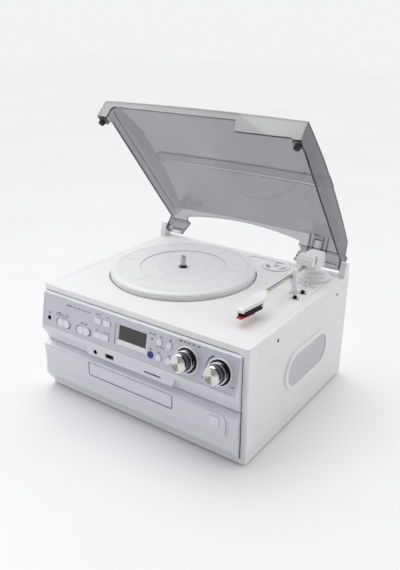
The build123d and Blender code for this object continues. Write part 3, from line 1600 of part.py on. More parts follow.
with BuildPart() as cover_inside:
    with BuildSketch(crown_start):
        with BuildLine():
            cover_side()
        make_face()
        offset(amount=-cover_wall, kind=Kind.INTERSECTION)
    revolve(axis=crown_axis, revolution_arc=crown_span)
    with BuildSketch(cover_facing(-20.0)):
        with BuildLine():
            cover_section(cover_half_width - cover_wall)
        make_face()
    extrude(amount=cover_span, mode=Mode.INTERSECT)

with BuildPart() as stiffening_rib:
    with BuildSketch(crown_start):
        with BuildLine():
            cover_side(rib_height)
        make_face()
    revolve(axis=crown_axis, revolution_arc=crown_span)
    with BuildSketch(cover_level(30.0)):
        with Locations(((rib_left + cover_half_width) / 2 + 10.0, -(rib_near + rib_far) / 2)):
            SlotOverall(cover_half_width - rib_left + 20.0, rib_far - rib_near)
    extrude(amount=20.0, mode=Mode.INTERSECT)
    with BuildSketch(cover_facing(-20.0)):
        with BuildLine():
            cover_section(cover_half_width)
        make_face()
    extrude(amount=cover_span, mode=Mode.INTERSECT)

with BuildPart() as dust_cover:
    add(cover_outside.part)
    add(stiffening_rib.part)
    add(cover_inside.part, mode=Mode.SUBTRACT)
    below = -3 * skin
    # lower edge of the right wall: straight, with a lug round the hinge pin
    with BuildSketch(cover_across(cover_half_width - 45.6)):
        with BuildLine():
            Polyline(
                (40.0, below),
                (40.0, -cover_lug),
                (-cover_lug, -cover_lug),
                (-cover_lug - 4.0, cover_tab_edge + 1.6),
                (-bumper_reach + 8.0, cover_tab_edge + 1.6),
                (-bumper_reach + 6.0, cover_tab_edge),
                (-cover_length - 20.0, cover_tab_edge),
                (-cover_length - 20.0, below),
                close=True,
            )
        make_face()
    extrude(amount=60.0, mode=Mode.SUBTRACT)
    # lower edge of the left wall: cut away so that a large record may overhang
    with BuildSketch(cover_across(45.6 - cover_half_width)):
        with BuildLine():
            Polyline(
                (40.0, below),
                (40.0, -cover_lug),
                (-cover_lug, -cover_lug),
                (-cover_lug - 5.0, cover_left_edge),
                (-bumper_reach + 15.0, cover_left_edge),
                (-bumper_reach + 7.0, cover_tab_edge),
                (-cover_length - 20.0, cover_tab_edge),
                (-cover_length - 20.0, below),
                close=True,
            )
        make_face()
    extrude(amount=-60.0, mode=Mode.SUBTRACT)
    # lower edge of the front wall, in two steps between the corner tabs
    with BuildSketch(cover_facing(bumper_reach - 8.0)):
        with BuildLine():
            Polyline(
                (15.6 - cover_half_width, below),
                (15.6 - cover_half_width, cover_front_edge - 4.0),
                (19.6 - cover_half_width, cover_front_edge),
                (cover_step_x - 2.5, cover_front_edge),
                (cover_step_x + 2.5, cover_front_edge_right),
                (cover_half_width - 10.0, cover_front_edge_right),
                (cover_half_width - 10.0, below),
                close=True,
            )
        make_face()
        with Locations((0, (below + cover_tab_edge) / 2)):
            Rectangle(2 * cover_half_width + 20.0, cover_tab_edge - below)
    extrude(amount=40.0, mode=Mode.SUBTRACT)
    # arch in the back between the two hinge lugs
    with BuildSketch(cover_facing(-20.0)):
        with BuildLine():
            ThreePointArc(
                (arch_left, arch_spring),
                ((arch_left + arch_right) / 2, arch_top),
                (arch_right, arch_spring),
            )
            Polyline(
                (arch_right, arch_spring), (arch_right, below), (arch_left, below), (arch_left, arch_spring)
            )
        make_face()
        with Locations((0, below / 2 - cover_lug / 2)):
            Rectangle(2 * cover_half_width + 20.0, -below - cover_lug)
    extrude(amount=42.0, mode=Mode.SUBTRACT)
    # underside of the outline in the middle of the cover
    with BuildSketch(cover_level(below)):
        with Locations((0, -cover_length / 2)):
            Rectangle(2 * cover_half_width + 20.0, cover_length - 20.0)
    extrude(amount=-below - 4.0, mode=Mode.SUBTRACT)
    # gussets that stiffen the right hinge, under the slope at the back of the cover
    for gusset in gusset_x:
        with BuildSketch(cover_across(gusset - gusset_wall / 2)):
            Polygon(
                (-3.0, 15.5), (-13.0, 29.0), (-18.0, 29.6), (-18.0, 25.0), (-8.0, 9.5), (-3.0, 9.5), align=None
            )
        extrude(amount=gusset_wall)
    with BuildSketch(cover_across(gusset_x[1])):
        Polygon((-14.0, 29.0), (-18.0, 29.6), (-18.0, 26.0), (-15.5, 22.1), (-12.5, 24.0), align=None)
    extrude(amount=gusset_x[2] - gusset_x[1])
    # foot plates in the front corners, over the bumpers
    with BuildSketch(cover_level(cover_tab_edge)):
        with Locations((-cover_half_width + 5.6, -bumper_reach), (cover_half_width - 5.6, -bumper_reach)):
            Rectangle(11.2, 11.0)
    extrude(amount=2.2)
    # holes for the hinge pins
    with BuildSketch(cover_across(0)):
        Circle(hinge_pin_radius + bearing_clearance)
    extrude(amount=cover_half_width + 5.0, both=True, mode=Mode.SUBTRACT)
finish(dust_cover.part, "dust_cover")

bumper_x = cover_half_width - 5.0
with BuildPart() as lid_bumpers:
    with BuildSketch(cover_level(cover_tab_edge)):
        with Locations((-bumper_x, -bumper_reach), (bumper_x, -bumper_reach)):
            Circle(bumper_radius)
    extrude(amount=-bumper_height)
    fillet(lid_bumpers.edges().group_by(cover_out)[0], radius=0.8)
finish(lid_bumpers.part, "lid_bumpers")

tower_inside = side_x - tower_width - 0.2
with BuildPart() as hinge_towers:
    for side in (-1, 1):
        with BuildSketch(across(side * tower_inside)):
            with BuildLine():
                Polyline(
                    (hinge_y - tower_front, deck_top),
                    (hinge_y - tower_front + 1.0, deck_top + 9.0),
                    (hinge_y - 5.5, deck_top + tower_height),
                    (hinge_y - 1.5, deck_top + tower_height),
                    (hinge_y + tower_back, deck_top + tower_height - 5.0),
                    (hinge_y + tower_back, deck_top),
                    close=True,
                )
            make_face()
        extrude(amount=side * tower_width)
        with BuildSketch(across(side * tower_inside)):
            with Locations((hinge_y, deck_top + hinge_height)):
                Circle(hinge_pin_radius)
        extrude(amount=-side * 7.0)
finish(hinge_towers.part, "hinge_towers")

# ================================================================ back connections
with BuildPart() as rca_sockets:
    with BuildSketch(facing(board_y - 6.0)):
        with Locations((rca_x + rca_pitch / 2, rca_z)):
            Rectangle(rca_pitch + 14.0, 16.0)
    extrude(amount=-6.0)
    with BuildSketch(facing(board_y)):
        with Locations((rca_x, rca_z), (rca_x + rca_pitch, rca_z)):
            Circle(rca_radius + 0.2)
    extrude(amount=-back_board)
    with BuildSketch(facing(back_y)):
        with Locations((rca_x, rca_z), (rca_x + rca_pitch, rca_z)):
            Circle(rca_radius)
    extrude(amount=-rca_length)
    with BuildSketch(facing(board_y + back_board + rca_length)):
        with Locations((rca_x, rca_z), (rca_x + rca_pitch, rca_z)):
            Circle(rca_radius - 0.6)
            Circle(1.6 + 1.2, mode=Mode.SUBTRACT)
        with Locations((rca_x, rca_z), (rca_x + rca_pitch, rca_z)):
            Circle(1.6)
    extrude(amount=rca_length - 1.0, mode=Mode.SUBTRACT)
finish(rca_sockets.part, "rca_sockets")

with BuildPart() as power_inlet:
    with BuildSketch(facing(board_y)):
        with Locations((inlet_x, rca_z)):
            Rectangle(inlet_body, inlet_body)
    extrude(amount=inlet_body)
    with BuildSketch(facing(board_y)):
        with Locations((inlet_x, rca_z)):
            Circle(inlet_radius + 1.1)
    extrude(amount=-back_board)
    with BuildSketch(facing(back_y)):
        with Locations((inlet_x, rca_z)):
            Circle(inlet_radius)
    extrude(amount=inlet_depth, mode=Mode.SUBTRACT)
    with BuildSketch(facing(back_y - inlet_depth)):
        with Locations((inlet_x, rca_z)):
            Circle(1.0)
    extrude(amount=-(inlet_depth - 1.0))
finish(power_inlet.part, "power_inlet")
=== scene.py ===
"""Looks of the music centre: materials, print, fine detail, stage, lights and camera.

In the frame of the CAD part. Blender's metres are used throughout, but the sizes written below are
millimetres, made metres by MM. The panel leans back, so its print is placed by (across, up the slope);
the print on the deck is placed by (x, y).
"""
import json
import math

import bpy
import bmesh
from mathutils import Matrix, Vector


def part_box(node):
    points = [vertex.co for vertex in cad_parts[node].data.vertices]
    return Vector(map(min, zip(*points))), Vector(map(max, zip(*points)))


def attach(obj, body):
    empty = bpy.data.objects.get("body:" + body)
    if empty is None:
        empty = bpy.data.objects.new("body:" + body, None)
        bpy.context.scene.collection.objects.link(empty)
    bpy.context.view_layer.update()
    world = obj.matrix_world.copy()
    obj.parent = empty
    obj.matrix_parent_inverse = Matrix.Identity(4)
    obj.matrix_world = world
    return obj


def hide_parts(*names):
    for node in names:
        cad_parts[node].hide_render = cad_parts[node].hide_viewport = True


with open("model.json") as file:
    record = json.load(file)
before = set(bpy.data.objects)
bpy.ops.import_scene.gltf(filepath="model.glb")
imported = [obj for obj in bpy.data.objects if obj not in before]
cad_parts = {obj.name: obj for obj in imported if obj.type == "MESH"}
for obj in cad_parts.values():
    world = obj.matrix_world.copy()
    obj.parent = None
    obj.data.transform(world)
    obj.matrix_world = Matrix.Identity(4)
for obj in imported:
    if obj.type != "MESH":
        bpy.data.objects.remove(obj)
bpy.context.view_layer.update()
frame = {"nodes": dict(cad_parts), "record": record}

MM = 0.001
RIGHT = Vector((1.0, 0.0, 0.0))
BACK = Vector((0.0, 1.0, 0.0))
UP = Vector((0.0, 0.0, 1.0))
PRINT_HEIGHT = 0.03 * MM
LINE_HEIGHT = 0.04 * MM
ABOVE = 0.19  # metres up: where rays down onto the deck and the platter start
IN_FRONT = -0.16  # metres back: where rays onto the front start
BESIDE = 0.17  # metres out: where rays onto the sides start

LEAN = math.radians(11.2)
PANEL_FOOT = Vector((0.0, -0.13425, 0.092))
PANEL_UP = Vector((0.0, math.sin(LEAN), math.cos(LEAN)))
PANEL_OUT = Vector((0.0, -math.cos(LEAN), math.sin(LEAN)))
KNOBS = (("tuning", 79.0), ("volume", 123.3))  # body, across the panel
KNOB_UP = 23.7
HEADPHONE = (-141.0, 14.5)

SIDE_SCREWS = (("near", -60.05), ("far", 99.05))
SCREW_HEIGHT = 133.4

PLATTER_CENTRE = (-32.5, 13.75)
ARM_TUBE = Vector((0.117, 0.0, 0.1709))
ARM_BASE = Vector((0.120, 0.10025, 0.1491))

COVER_LEAN = math.radians(51.6)
COVER_HINGE = Vector((0.0, 0.12865, 0.1616))
COVER_BACK = Vector((0.0, math.cos(COVER_LEAN), -math.sin(COVER_LEAN)))
COVER_OUT = Vector((0.0, math.sin(COVER_LEAN), math.cos(COVER_LEAN)))


# ---------------------------------------------------------------- colours

def linear(red, green, blue):
    """A colour written in 0-255 screen values, as the shader wants it."""
    def channel(value):
        value = value / 255.0
        return value / 12.92 if value <= 0.04045 else ((value + 0.055) / 1.055) ** 2.4
    return (channel(red), channel(green), channel(blue), 1.0)


# ---------------------------------------------------------------- node helpers

class Graph:
    """A material's node tree, with short calls to add nodes and join them."""

    def __init__(self, name):
        self.material = bpy.data.materials.new(name)
        self.material.use_nodes = True
        self.tree = self.material.node_tree
        self.shader = self.tree.nodes["Principled BSDF"]
        self.output = self.tree.nodes["Material Output"]

    def add(self, kind, **settings):
        node = self.tree.nodes.new(kind)
        for key, value in settings.items():
            setattr(node, key, value)
        return node

    def join(self, source, target):
        self.tree.links.new(source, target)

    def place(self, stretch=(1.0, 1.0, 1.0)):
        """Object coordinates, stretched per axis."""
        coordinates = self.add("ShaderNodeTexCoord")
        mapping = self.add("ShaderNodeMapping")
        mapping.inputs["Scale"].default_value = stretch
        self.join(coordinates.outputs["Object"], mapping.inputs["Vector"])
        return mapping.outputs["Vector"]

    def noise(self, scale, detail=3.0, stretch=(1.0, 1.0, 1.0)):
        texture = self.add("ShaderNodeTexNoise")
        texture.inputs["Scale"].default_value = scale
        texture.inputs["Detail"].default_value = detail
        self.join(self.place(stretch), texture.inputs["Vector"])
        return texture.outputs["Fac"]

    def radial(self):
        """Object coordinates of a turned piece, and the angle round its axis."""
        coordinates = self.add("ShaderNodeTexCoord").outputs["Object"]
        parts = self.add("ShaderNodeSeparateXYZ")
        self.join(coordinates, parts.inputs["Vector"])
        return coordinates, self.calculate("ARCTAN2", parts.outputs["Y"], parts.outputs["X"])

    def colour(self, factor, first, second, low=0.3, high=0.7):
        """Base colour that goes from first to second as factor goes from low to high."""
        self.join(self.between(factor, first, second, low, high), self.shader.inputs["Base Color"])

    def roughness(self, factor, low, high):
        self.join(self.spread(factor, low, high), self.shader.inputs["Roughness"])

    def between(self, factor, first, second, low=0.3, high=0.7):
        """Colour that goes from first to second as factor goes from low to high."""
        ramp = self.add("ShaderNodeValToRGB")
        ramp.color_ramp.elements[0].position = low
        ramp.color_ramp.elements[0].color = first
        ramp.color_ramp.elements[1].position = high
        ramp.color_ramp.elements[1].color = second
        self.join(factor, ramp.inputs["Fac"])
        return ramp.outputs["Color"]

    def spread(self, factor, low, high):
        """factor, spread over low to high."""
        span = self.add("ShaderNodeMapRange")
        span.inputs["To Min"].default_value = low
        span.inputs["To Max"].default_value = high
        self.join(factor, span.inputs["Value"])
        return span.outputs["Result"]

    def calculate(self, operation, first, second=None):
        node = self.add("ShaderNodeMath", operation=operation)
        for slot, value in enumerate((first, second)):
            if value is None:
                continue
            if isinstance(value, (int, float)):
                node.inputs[slot].default_value = value
            else:
                self.join(value, node.inputs[slot])
        return node.outputs["Value"]

    def relief(self, height, strength, distance, rounding=None):
        """Bump from a height, over edges that look rounded by a radius in metres."""
        bump = self.add("ShaderNodeBump")
        bump.inputs["Strength"].default_value = strength
        bump.inputs["Distance"].default_value = distance
        self.join(height, bump.inputs["Height"])
        if rounding:
            bevel = self.add("ShaderNodeBevel", samples=6)
            bevel.inputs["Radius"].default_value = rounding
            self.join(bevel.outputs["Normal"], bump.inputs["Normal"])
        self.join(bump.outputs["Normal"], self.shader.inputs["Normal"])

    def set(self, **values):
        for key, value in values.items():
            self.shader.inputs[key.replace("_", " ")].default_value = value


# ---------------------------------------------------------------- materials

def grey(level, blue=0):
    """A neutral colour, with its blue a little over the rest."""
    return linear(level, level, level + blue)


def moulded(name, light, dark, roughness, grain=2600.0, depth=0.03):
    """Moulded plastic: a fine spark-eroded grain, faint clouding, edges a little round."""
    graph = Graph(name)
    graph.colour(graph.noise(22.0, 4.0), dark, light)
    graph.roughness(graph.noise(60.0), roughness - 0.05, roughness + 0.06)
    graph.relief(graph.noise(grain, 2.0), 0.35, depth * MM, 0.35 * MM)
    return graph


def white_shell():
    return moulded("white_shell", grey(238, 1), grey(234, 1), 0.40)


def white_board():
    """Foil on fibreboard: a long faint ripple under a satin film."""
    graph = Graph("white_board")
    ripple = graph.noise(90.0, 3.0, (1.0, 0.25, 1.0))
    graph.colour(ripple, grey(232, 2), grey(236, 2))
    graph.roughness(graph.noise(240.0), 0.44, 0.54)
    graph.relief(graph.noise(1500.0, 3.0), 0.3, 0.03 * MM, 0.5 * MM)
    return graph


def back_board():
    """Painted fibreboard: matt, with the faint fibre of the board."""
    graph = Graph("back_board")
    fibre = graph.noise(420.0, 5.0, (1.0, 1.0, 0.5))
    graph.colour(fibre, grey(214), linear(222, 222, 221))
    graph.set(Roughness=0.7)
    graph.relief(fibre, 0.5, 0.08 * MM, 0.4 * MM)
    return graph


def pearl(name, light, dark):
    """Pearl paint: a fine bright flake in a lavender white coat."""
    graph = Graph(name)
    flake = graph.add("ShaderNodeTexVoronoi")
    flake.inputs["Scale"].default_value = 2600.0
    graph.join(graph.place(), flake.inputs["Vector"])
    graph.colour(flake.outputs["Distance"], light, dark, 0.15, 0.6)
    graph.roughness(graph.noise(70.0), 0.33, 0.42)
    graph.set(Metallic=0.05)
    graph.relief(graph.noise(1800.0, 2.0), 0.25, 0.02 * MM, 0.4 * MM)
    return graph


def fascia_silver():
    return pearl("fascia_silver", linear(226, 226, 232), linear(219, 219, 226))


def panel_plate():
    return pearl("panel_plate", linear(206, 206, 217), linear(198, 198, 210))


def rubber(name, level):
    graph = Graph(name)
    graph.colour(graph.noise(500.0, 4.0), grey(level), grey(level + 9, 1))
    graph.set(Roughness=0.78)
    graph.relief(graph.noise(1600.0), 0.5, 0.06 * MM, 0.4 * MM)
    return graph


def deck_rubber():
    return rubber("deck_rubber", 26)


def drive_rubber():
    return rubber("drive_rubber", 22)


def platter_grey():
    """The platter's white satin plastic, a little greyer than the case."""
    return moulded("platter_grey", grey(233, 2), grey(229, 2), 0.38)


def bright_steel():
    """Bright plating of the knobs, under the faces and edges that they get below."""
    graph = Graph("bright_steel")
    graph.colour(graph.noise(300.0, 3.0), grey(214, 3), grey(232, 2))
    graph.roughness(graph.noise(900.0), 0.10, 0.17)
    graph.set(Metallic=1.0)
    graph.relief(graph.noise(1200.0), 0.1, 0.01 * MM, 0.25 * MM)
    return graph


def plain_steel():
    """Cold-drawn steel with long streaks."""
    graph = Graph("plain_steel")
    streak = graph.noise(500.0, 3.0, (1.0, 1.0, 0.08))
    graph.colour(streak, linear(176, 174, 168), linear(205, 203, 197))
    graph.roughness(streak, 0.22, 0.36)
    graph.set(Metallic=1.0)
    graph.relief(streak, 0.15, 0.02 * MM, 0.15 * MM)
    return graph


def arm_metal():
    """Drawn tube: fine lines run along it."""
    graph = Graph("arm_metal")
    line = graph.noise(1800.0, 2.0, (1.0, 0.02, 1.0))
    graph.colour(line, linear(196, 191, 180), linear(222, 217, 206))
    graph.roughness(line, 0.2, 0.3)
    graph.set(Metallic=1.0)
    graph.relief(line, 0.2, 0.02 * MM)
    return graph


def smoked_cover():
    """Clear smoked acrylic: the light it takes grows with the way through it, so its edges are dark."""
    graph = Graph("smoked_cover")
    graph.colour(graph.noise(14.0, 3.0), grey(172, 3), grey(178, 3))
    graph.roughness(graph.noise(120.0), 0.015, 0.04)
    graph.set(Transmission_Weight=1.0, IOR=1.49)
    # shadows and soft light go straight through, so that the deck under the cover stays bright
    path = graph.add("ShaderNodeLightPath")
    through = graph.add("ShaderNodeBsdfTransparent")
    through.inputs["Color"].default_value = grey(253, 1)
    choice = graph.add("ShaderNodeMixShader")
    soft = graph.calculate("MAXIMUM", path.outputs["Is Shadow Ray"], path.outputs["Is Diffuse Ray"])
    graph.join(soft, choice.inputs["Fac"])
    graph.join(graph.shader.outputs["BSDF"], choice.inputs[1])
    graph.join(through.outputs["BSDF"], choice.inputs[2])
    graph.join(choice.outputs["Shader"], graph.output.inputs["Surface"])
    smoke = graph.add("ShaderNodeVolumeAbsorption")
    smoke.inputs["Color"].default_value = (0.5, 0.5, 0.53, 1.0)
    smoke.inputs["Density"].default_value = 190.0
    graph.join(smoke.outputs["Volume"], graph.output.inputs["Volume"])
    return graph


def dark_lens():
    """The display window: dark grey and glossy."""
    graph = Graph("dark_lens")
    graph.colour(graph.noise(35.0), linear(52, 53, 53), linear(60, 61, 61))
    graph.roughness(graph.noise(200.0), 0.08, 0.14)
    graph.set(IOR=1.45)
    return graph


def display_dark():
    return moulded("display_dark", grey(50, 1), grey(42, 1), 0.5)


def lamp_clear():
    return moulded("lamp_clear", linear(96, 92, 100), linear(80, 76, 84), 0.2)


def circuit_board():
    return moulded("circuit_board", linear(30, 104, 62), linear(22, 88, 50), 0.3, 600.0, 0.05)


def black_plastic():
    graph = moulded("black_plastic", grey(15, 1), grey(9, 1), 0.36)
    graph.set(Specular_IOR_Level=0.15)
    return graph


def stylus_red():
    return moulded("stylus_red", linear(198, 26, 34), linear(178, 18, 26), 0.28)


def button_white():
    return moulded("button_white", grey(232, 8), grey(227, 9), 0.34)


def button_blue():
    return moulded("button_blue", linear(38, 30, 128), linear(30, 22, 112), 0.26)


def drive_grey():
    return moulded("drive_grey", grey(150, 2), grey(138, 2), 0.5)


def mesh_white():
    """Fine perforated sheet: round holes in a pattern turned by 45 degrees, darker behind."""
    graph = Graph("mesh_white")
    holes = graph.add("ShaderNodeTexVoronoi")
    holes.voronoi_dimensions = "2D"
    holes.inputs["Scale"].default_value = 700.0
    holes.inputs["Randomness"].default_value = 0.0
    coordinates = graph.add("ShaderNodeTexCoord")
    parts = graph.add("ShaderNodeSeparateXYZ")
    graph.join(coordinates.outputs["Object"], parts.inputs["Vector"])
    slanted = graph.add("ShaderNodeCombineXYZ")
    graph.join(graph.calculate("ADD", parts.outputs["Y"], parts.outputs["Z"]), slanted.inputs["X"])
    graph.join(graph.calculate("SUBTRACT", parts.outputs["Y"], parts.outputs["Z"]), slanted.inputs["Y"])
    graph.join(slanted.outputs["Vector"], holes.inputs["Vector"])
    graph.colour(holes.outputs["Distance"], grey(120, 4), grey(222, 4), 0.24, 0.34)
    graph.set(Roughness=0.5)
    graph.relief(holes.outputs["Distance"], 0.6, 0.15 * MM)
    return graph


def socket_plate():
    """The pale gold plating of the phono sockets."""
    graph = Graph("socket_plate")
    graph.colour(graph.noise(300.0), linear(198, 178, 128), linear(214, 196, 148))
    graph.set(Metallic=0.9, Roughness=0.28)
    return graph


def print_ink(name, level):
    """Screen print: matt ink that thins out a little here and there."""
    graph = Graph(name)
    graph.colour(graph.noise(2500.0), grey(level - 8, 8), grey(level + 12, 8))
    graph.set(Roughness=0.55)
    return graph


def spun_metal_painted_fans():
    """The spun face of a knob: fine rings, and two pale fans of painted reflection across them."""
    graph = Graph("spun_metal_painted_fans")
    coordinates, angle = graph.radial()
    # painted reflection: two pale fans set by the angle round the knob's axis
    twice = graph.calculate("MULTIPLY", graph.calculate("SUBTRACT", angle, math.radians(152.0)), 2.0)
    painted_fan = graph.spread(graph.calculate("COSINE", twice), 0.0, 1.0)
    painted_fan.node.inputs["From Min"].default_value = -1.0
    painted_fan.node.inputs["From Max"].default_value = 1.0
    length = graph.add("ShaderNodeVectorMath", operation="LENGTH")
    graph.join(coordinates, length.inputs[0])
    rings = graph.add("ShaderNodeTexNoise", noise_dimensions="1D")
    rings.inputs["Scale"].default_value = 2600.0
    graph.join(length.outputs["Value"], rings.inputs["W"])
    level = graph.calculate("ADD", painted_fan, graph.spread(rings.outputs["Fac"], -0.12, 0.12))
    graph.colour(level, linear(142, 141, 138), linear(216, 216, 212), 0.12, 0.66)
    graph.set(Metallic=0.75, Roughness=0.42)
    graph.relief(rings.outputs["Fac"], 0.25, 0.01 * MM)
    return graph


def chrome_painted_dark():
    """Plated side of a knob, painted dark grey for the shaded panel that it reflects."""
    graph = moulded("chrome_painted_dark", linear(118, 117, 124), linear(104, 103, 110), 0.24)
    graph.set(Metallic=0.8)
    return graph


def chrome_painted_reflection():
    """Polished edge of a knob: plating with a painted dark reflection at the upper right and a painted
    bright reflection all round the rest.
    """
    graph = Graph("chrome_painted_reflection")
    _, angle = graph.radial()
    away = graph.calculate("ABSOLUTE", graph.calculate("SUBTRACT", angle, math.radians(34.0)))
    # painted reflection: near black toward the upper right, near white all round the rest
    graph.colour(away, grey(14, 1), grey(236, 2), 0.60, 0.75)
    graph.roughness(graph.noise(900.0), 0.08, 0.14)
    graph.set(Metallic=1.0)
    return graph


def deck_line():
    """The shaded step around the sunk part of the deck."""
    return moulded("deck_line", grey(164, 4), grey(154, 4), 0.5)


def shaded_plastic():
    """Painted shade: the platter's white plastic made darker inside its turned grooves."""
    return moulded("shaded_plastic", grey(204, 4), grey(196, 4), 0.5)


def painted_shade_line():
    """A painted shadow line with no gloss of its own: the cover's edges and ribs, and the gaps round the
    fascias.
    """
    graph = moulded("painted_shade_line", grey(40, 3), grey(30, 3), 0.8)
    graph.set(Specular_IOR_Level=0.0)
    return graph


MAKERS = (white_shell, white_board, back_board, fascia_silver, panel_plate, deck_rubber, platter_grey,
          bright_steel, plain_steel, arm_metal, smoked_cover, dark_lens, display_dark, lamp_clear,
          circuit_board, black_plastic, stylus_red, button_white, button_blue, drive_grey, mesh_white,
          socket_plate, drive_rubber)
finish_of = {maker.__name__: maker().material for maker in MAKERS}


def dress_nodes():
    """Each CAD node gets the material of its slot in the record; the tray is painted like the fascia."""
    for subpart in frame["record"]["subparts"]:
        node = frame["nodes"][subpart["node"]]
        node.data.materials.clear()
        slot = "fascia_silver" if subpart["node"] == "cd_tray" else subpart["material_slot"]
        node.data.materials.append(finish_of[slot])


# ---------------------------------------------------------------- print and fine detail

def meet(node, start, direction):
    """Where a ray meets a CAD node."""
    found, point, _, _ = frame["nodes"][node].ray_cast(start, direction)
    if not found:
        raise ValueError(f"nothing of {node} at {tuple(start)}")
    return point


def panel_point(across, up):
    """A point on the front face of the panel plate, at millimetres across and up the slope."""
    clear = PANEL_FOOT + PANEL_UP * 10 * MM + PANEL_OUT * 30 * MM
    face = meet("control_panel", clear, -PANEL_OUT)
    return face + RIGHT * across * MM + PANEL_UP * (up - 10) * MM


def deck_point(x, y):
    return meet("top_deck", Vector((x * MM, y * MM, ABOVE)), -UP)


def new_piece(name, made, finish):
    """A linked object from a bmesh, or from a mesh that is done, with one material."""
    mesh = made
    if isinstance(made, bmesh.types.BMesh):
        mesh = bpy.data.meshes.new(name)
        made.to_mesh(mesh)
        made.free()
    mesh.materials.append(finish)
    piece = bpy.data.objects.new(name, mesh)
    bpy.context.scene.collection.objects.link(piece)
    return piece


def arc(u, v, radius, start, end, steps):
    """Points on a circle about (u, v), from one angle to another in degrees."""
    angles = [math.radians(start + (end - start) * k / steps) for k in range(steps + 1)]
    return [(u + radius * math.cos(angle), v + radius * math.sin(angle)) for angle in angles]


def straight(first, last, steps):
    """Points evenly along a line."""
    return [(first[0] + (last[0] - first[0]) * k / steps, first[1] + (last[1] - first[1]) * k / steps)
            for k in range(steps + 1)]


def lay_flat(name, outlines, origin, ink):
    """Flat printed shapes on the panel, each a list of (across, up the slope) in millimetres."""
    builder = bmesh.new()
    for outline in outlines:
        corners = [builder.verts.new(origin + RIGHT * u * MM + PANEL_UP * v * MM + PANEL_OUT * PRINT_HEIGHT)
                   for u, v in outline]
        builder.faces.new(corners)
    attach(new_piece(name, builder, ink), "cabinet")


def bar(u0, v0, u1, v1):
    """A rectangle between two opposite corners."""
    return [(u0, v0), (u1, v0), (u1, v1), (u0, v1)]


def wedge_arc(radius, start, end, thin, thick, steps=22):
    """A ring sector that widens from thin to thick, in quads."""
    quads = []
    for step in range(steps):
        corners = []
        for share, side in ((step, -1), (step, 1), (step + 1, 1), (step + 1, -1)):
            share = share / steps
            angle = math.radians(start + (end - start) * share)
            reach = radius + side * (thin + (thick - thin) * share) / 2
            corners.append((reach * math.cos(angle), reach * math.sin(angle)))
        quads.append(corners)
    return quads


def lettering(name, words, origin, up, size, ink):
    """Generic words or numbers, centred on the origin, size millimetres high."""
    out = RIGHT.cross(up)
    curve = bpy.data.curves.new(name, "FONT")
    curve.body = words
    curve.size = size * MM * 1.4  # capitals are 1/1.4 of the type size
    curve.offset = size * MM * 0.035  # a little bolder
    curve.align_x = "CENTER"
    curve.align_y = "CENTER"
    holder = bpy.data.objects.new(name + "_outline", curve)
    bpy.context.scene.collection.objects.link(holder)
    bpy.context.view_layer.update()
    mesh = bpy.data.meshes.new_from_object(holder.evaluated_get(bpy.context.evaluated_depsgraph_get()))
    bpy.data.objects.remove(holder)
    mesh.name = name
    turn = Matrix((RIGHT, up, out)).transposed().to_4x4()
    mesh.transform(Matrix.Translation(origin + out * PRINT_HEIGHT) @ turn)
    mesh.materials.clear()
    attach(new_piece(name, mesh, ink), "cabinet")


def triangle(u, v, reach):
    """A triangle that points right."""
    return [(u - reach * 0.6, v - reach), (u + reach, v), (u - reach * 0.6, v + reach)]


def mirrored(outline):
    """An outline turned to point left."""
    return [(-u, v) for u, v in reversed(outline)]


def panel_print():
    """Small words, numbers and marks over the controls of the leaning panel."""
    ink = print_ink("panel_ink", 44).material
    words = (
        ("sources", "AM/FM - CD - AUX - 33 - 45 - 78", -91.2, 38.9, 2.1),
        ("function_upper", "AM/FM - CD - AUX", -117.3, 25.0, 1.9),
        ("function_lower", "AM  FM  CD  AUX", -118.8, 22.1, 1.9),
        ("band_names", "AM - FM", -79.8, 22.6, 2.2),
        ("memory_name", "M 1-5", -56.9, 40.4, 2.1),
        ("mode_name", "1 2 3", -41.4, 40.4, 2.1),
        ("preset_low", "01", -57.0, 21.3, 2.2),
        ("preset_high", "+ 10 - 20", -42.0, 21.4, 2.1),
        ("power_names", "ON OFF", 27.9, 40.2, 2.1),
        ("track_names", "CD - AUX", 40.8, 27.4, 2.0),
        ("tuning_scale", "88 - 92 - 98 - 104 - 108", 81.0, 43.6, 2.1),
        ("volume_low", "0", 102.6, 11.2, 2.4),
        ("volume_high", "10", 141.0, 11.6, 2.4),
    )
    for name, text, across, up, size in words:
        lettering("print_" + name, text, panel_point(across, up), PANEL_UP, size, ink)
    marks = (
        ("tuning_mark", 67.2, 43.6, [triangle(0, 0, 1.1)]),
        ("play_mark", 41.0, 39.7, [triangle(-1.2, 0, 1.2), bar(0.6, -1.2, 1.2, 1.2),
                                   bar(1.8, -1.2, 2.4, 1.2)]),
        ("stop_mark", 54.3, 39.7, [bar(-1.15, -1.15, 1.15, 1.15)]),
        ("back_mark", 40.6, 21.0, [mirrored(triangle(-0.9, 0, 1.0)), mirrored(triangle(0.9, 0, 1.0)),
                                   bar(-2.5, -1.0, -2.1, 1.0)]),
        ("next_mark", 54.4, 21.0, [triangle(-0.9, 0, 1.0), triangle(0.9, 0, 1.0),
                                   bar(2.1, -1.0, 2.5, 1.0)]),
        ("power_mark", 27.9, 22.0, wedge_arc(1.3, 120, 420, 0.5, 0.5) + [bar(-0.25, 0.2, 0.25, 1.9)]),
        ("phones_mark", HEADPHONE[0], 21.6, wedge_arc(1.7, 0, 180, 0.5, 0.5)
         + [bar(-2.1, -1.3, -1.1, 0.3), bar(1.1, -1.3, 2.1, 0.3)]),
    )
    for name, across, up, outlines in marks:
        lay_flat("print_" + name, outlines, panel_point(across, up), ink)
    _, volume_across = KNOBS[1]
    lay_flat("print_volume_wedge", wedge_arc(18.6, 192, 122, 0.15, 2.0),
             panel_point(volume_across, KNOB_UP), ink)


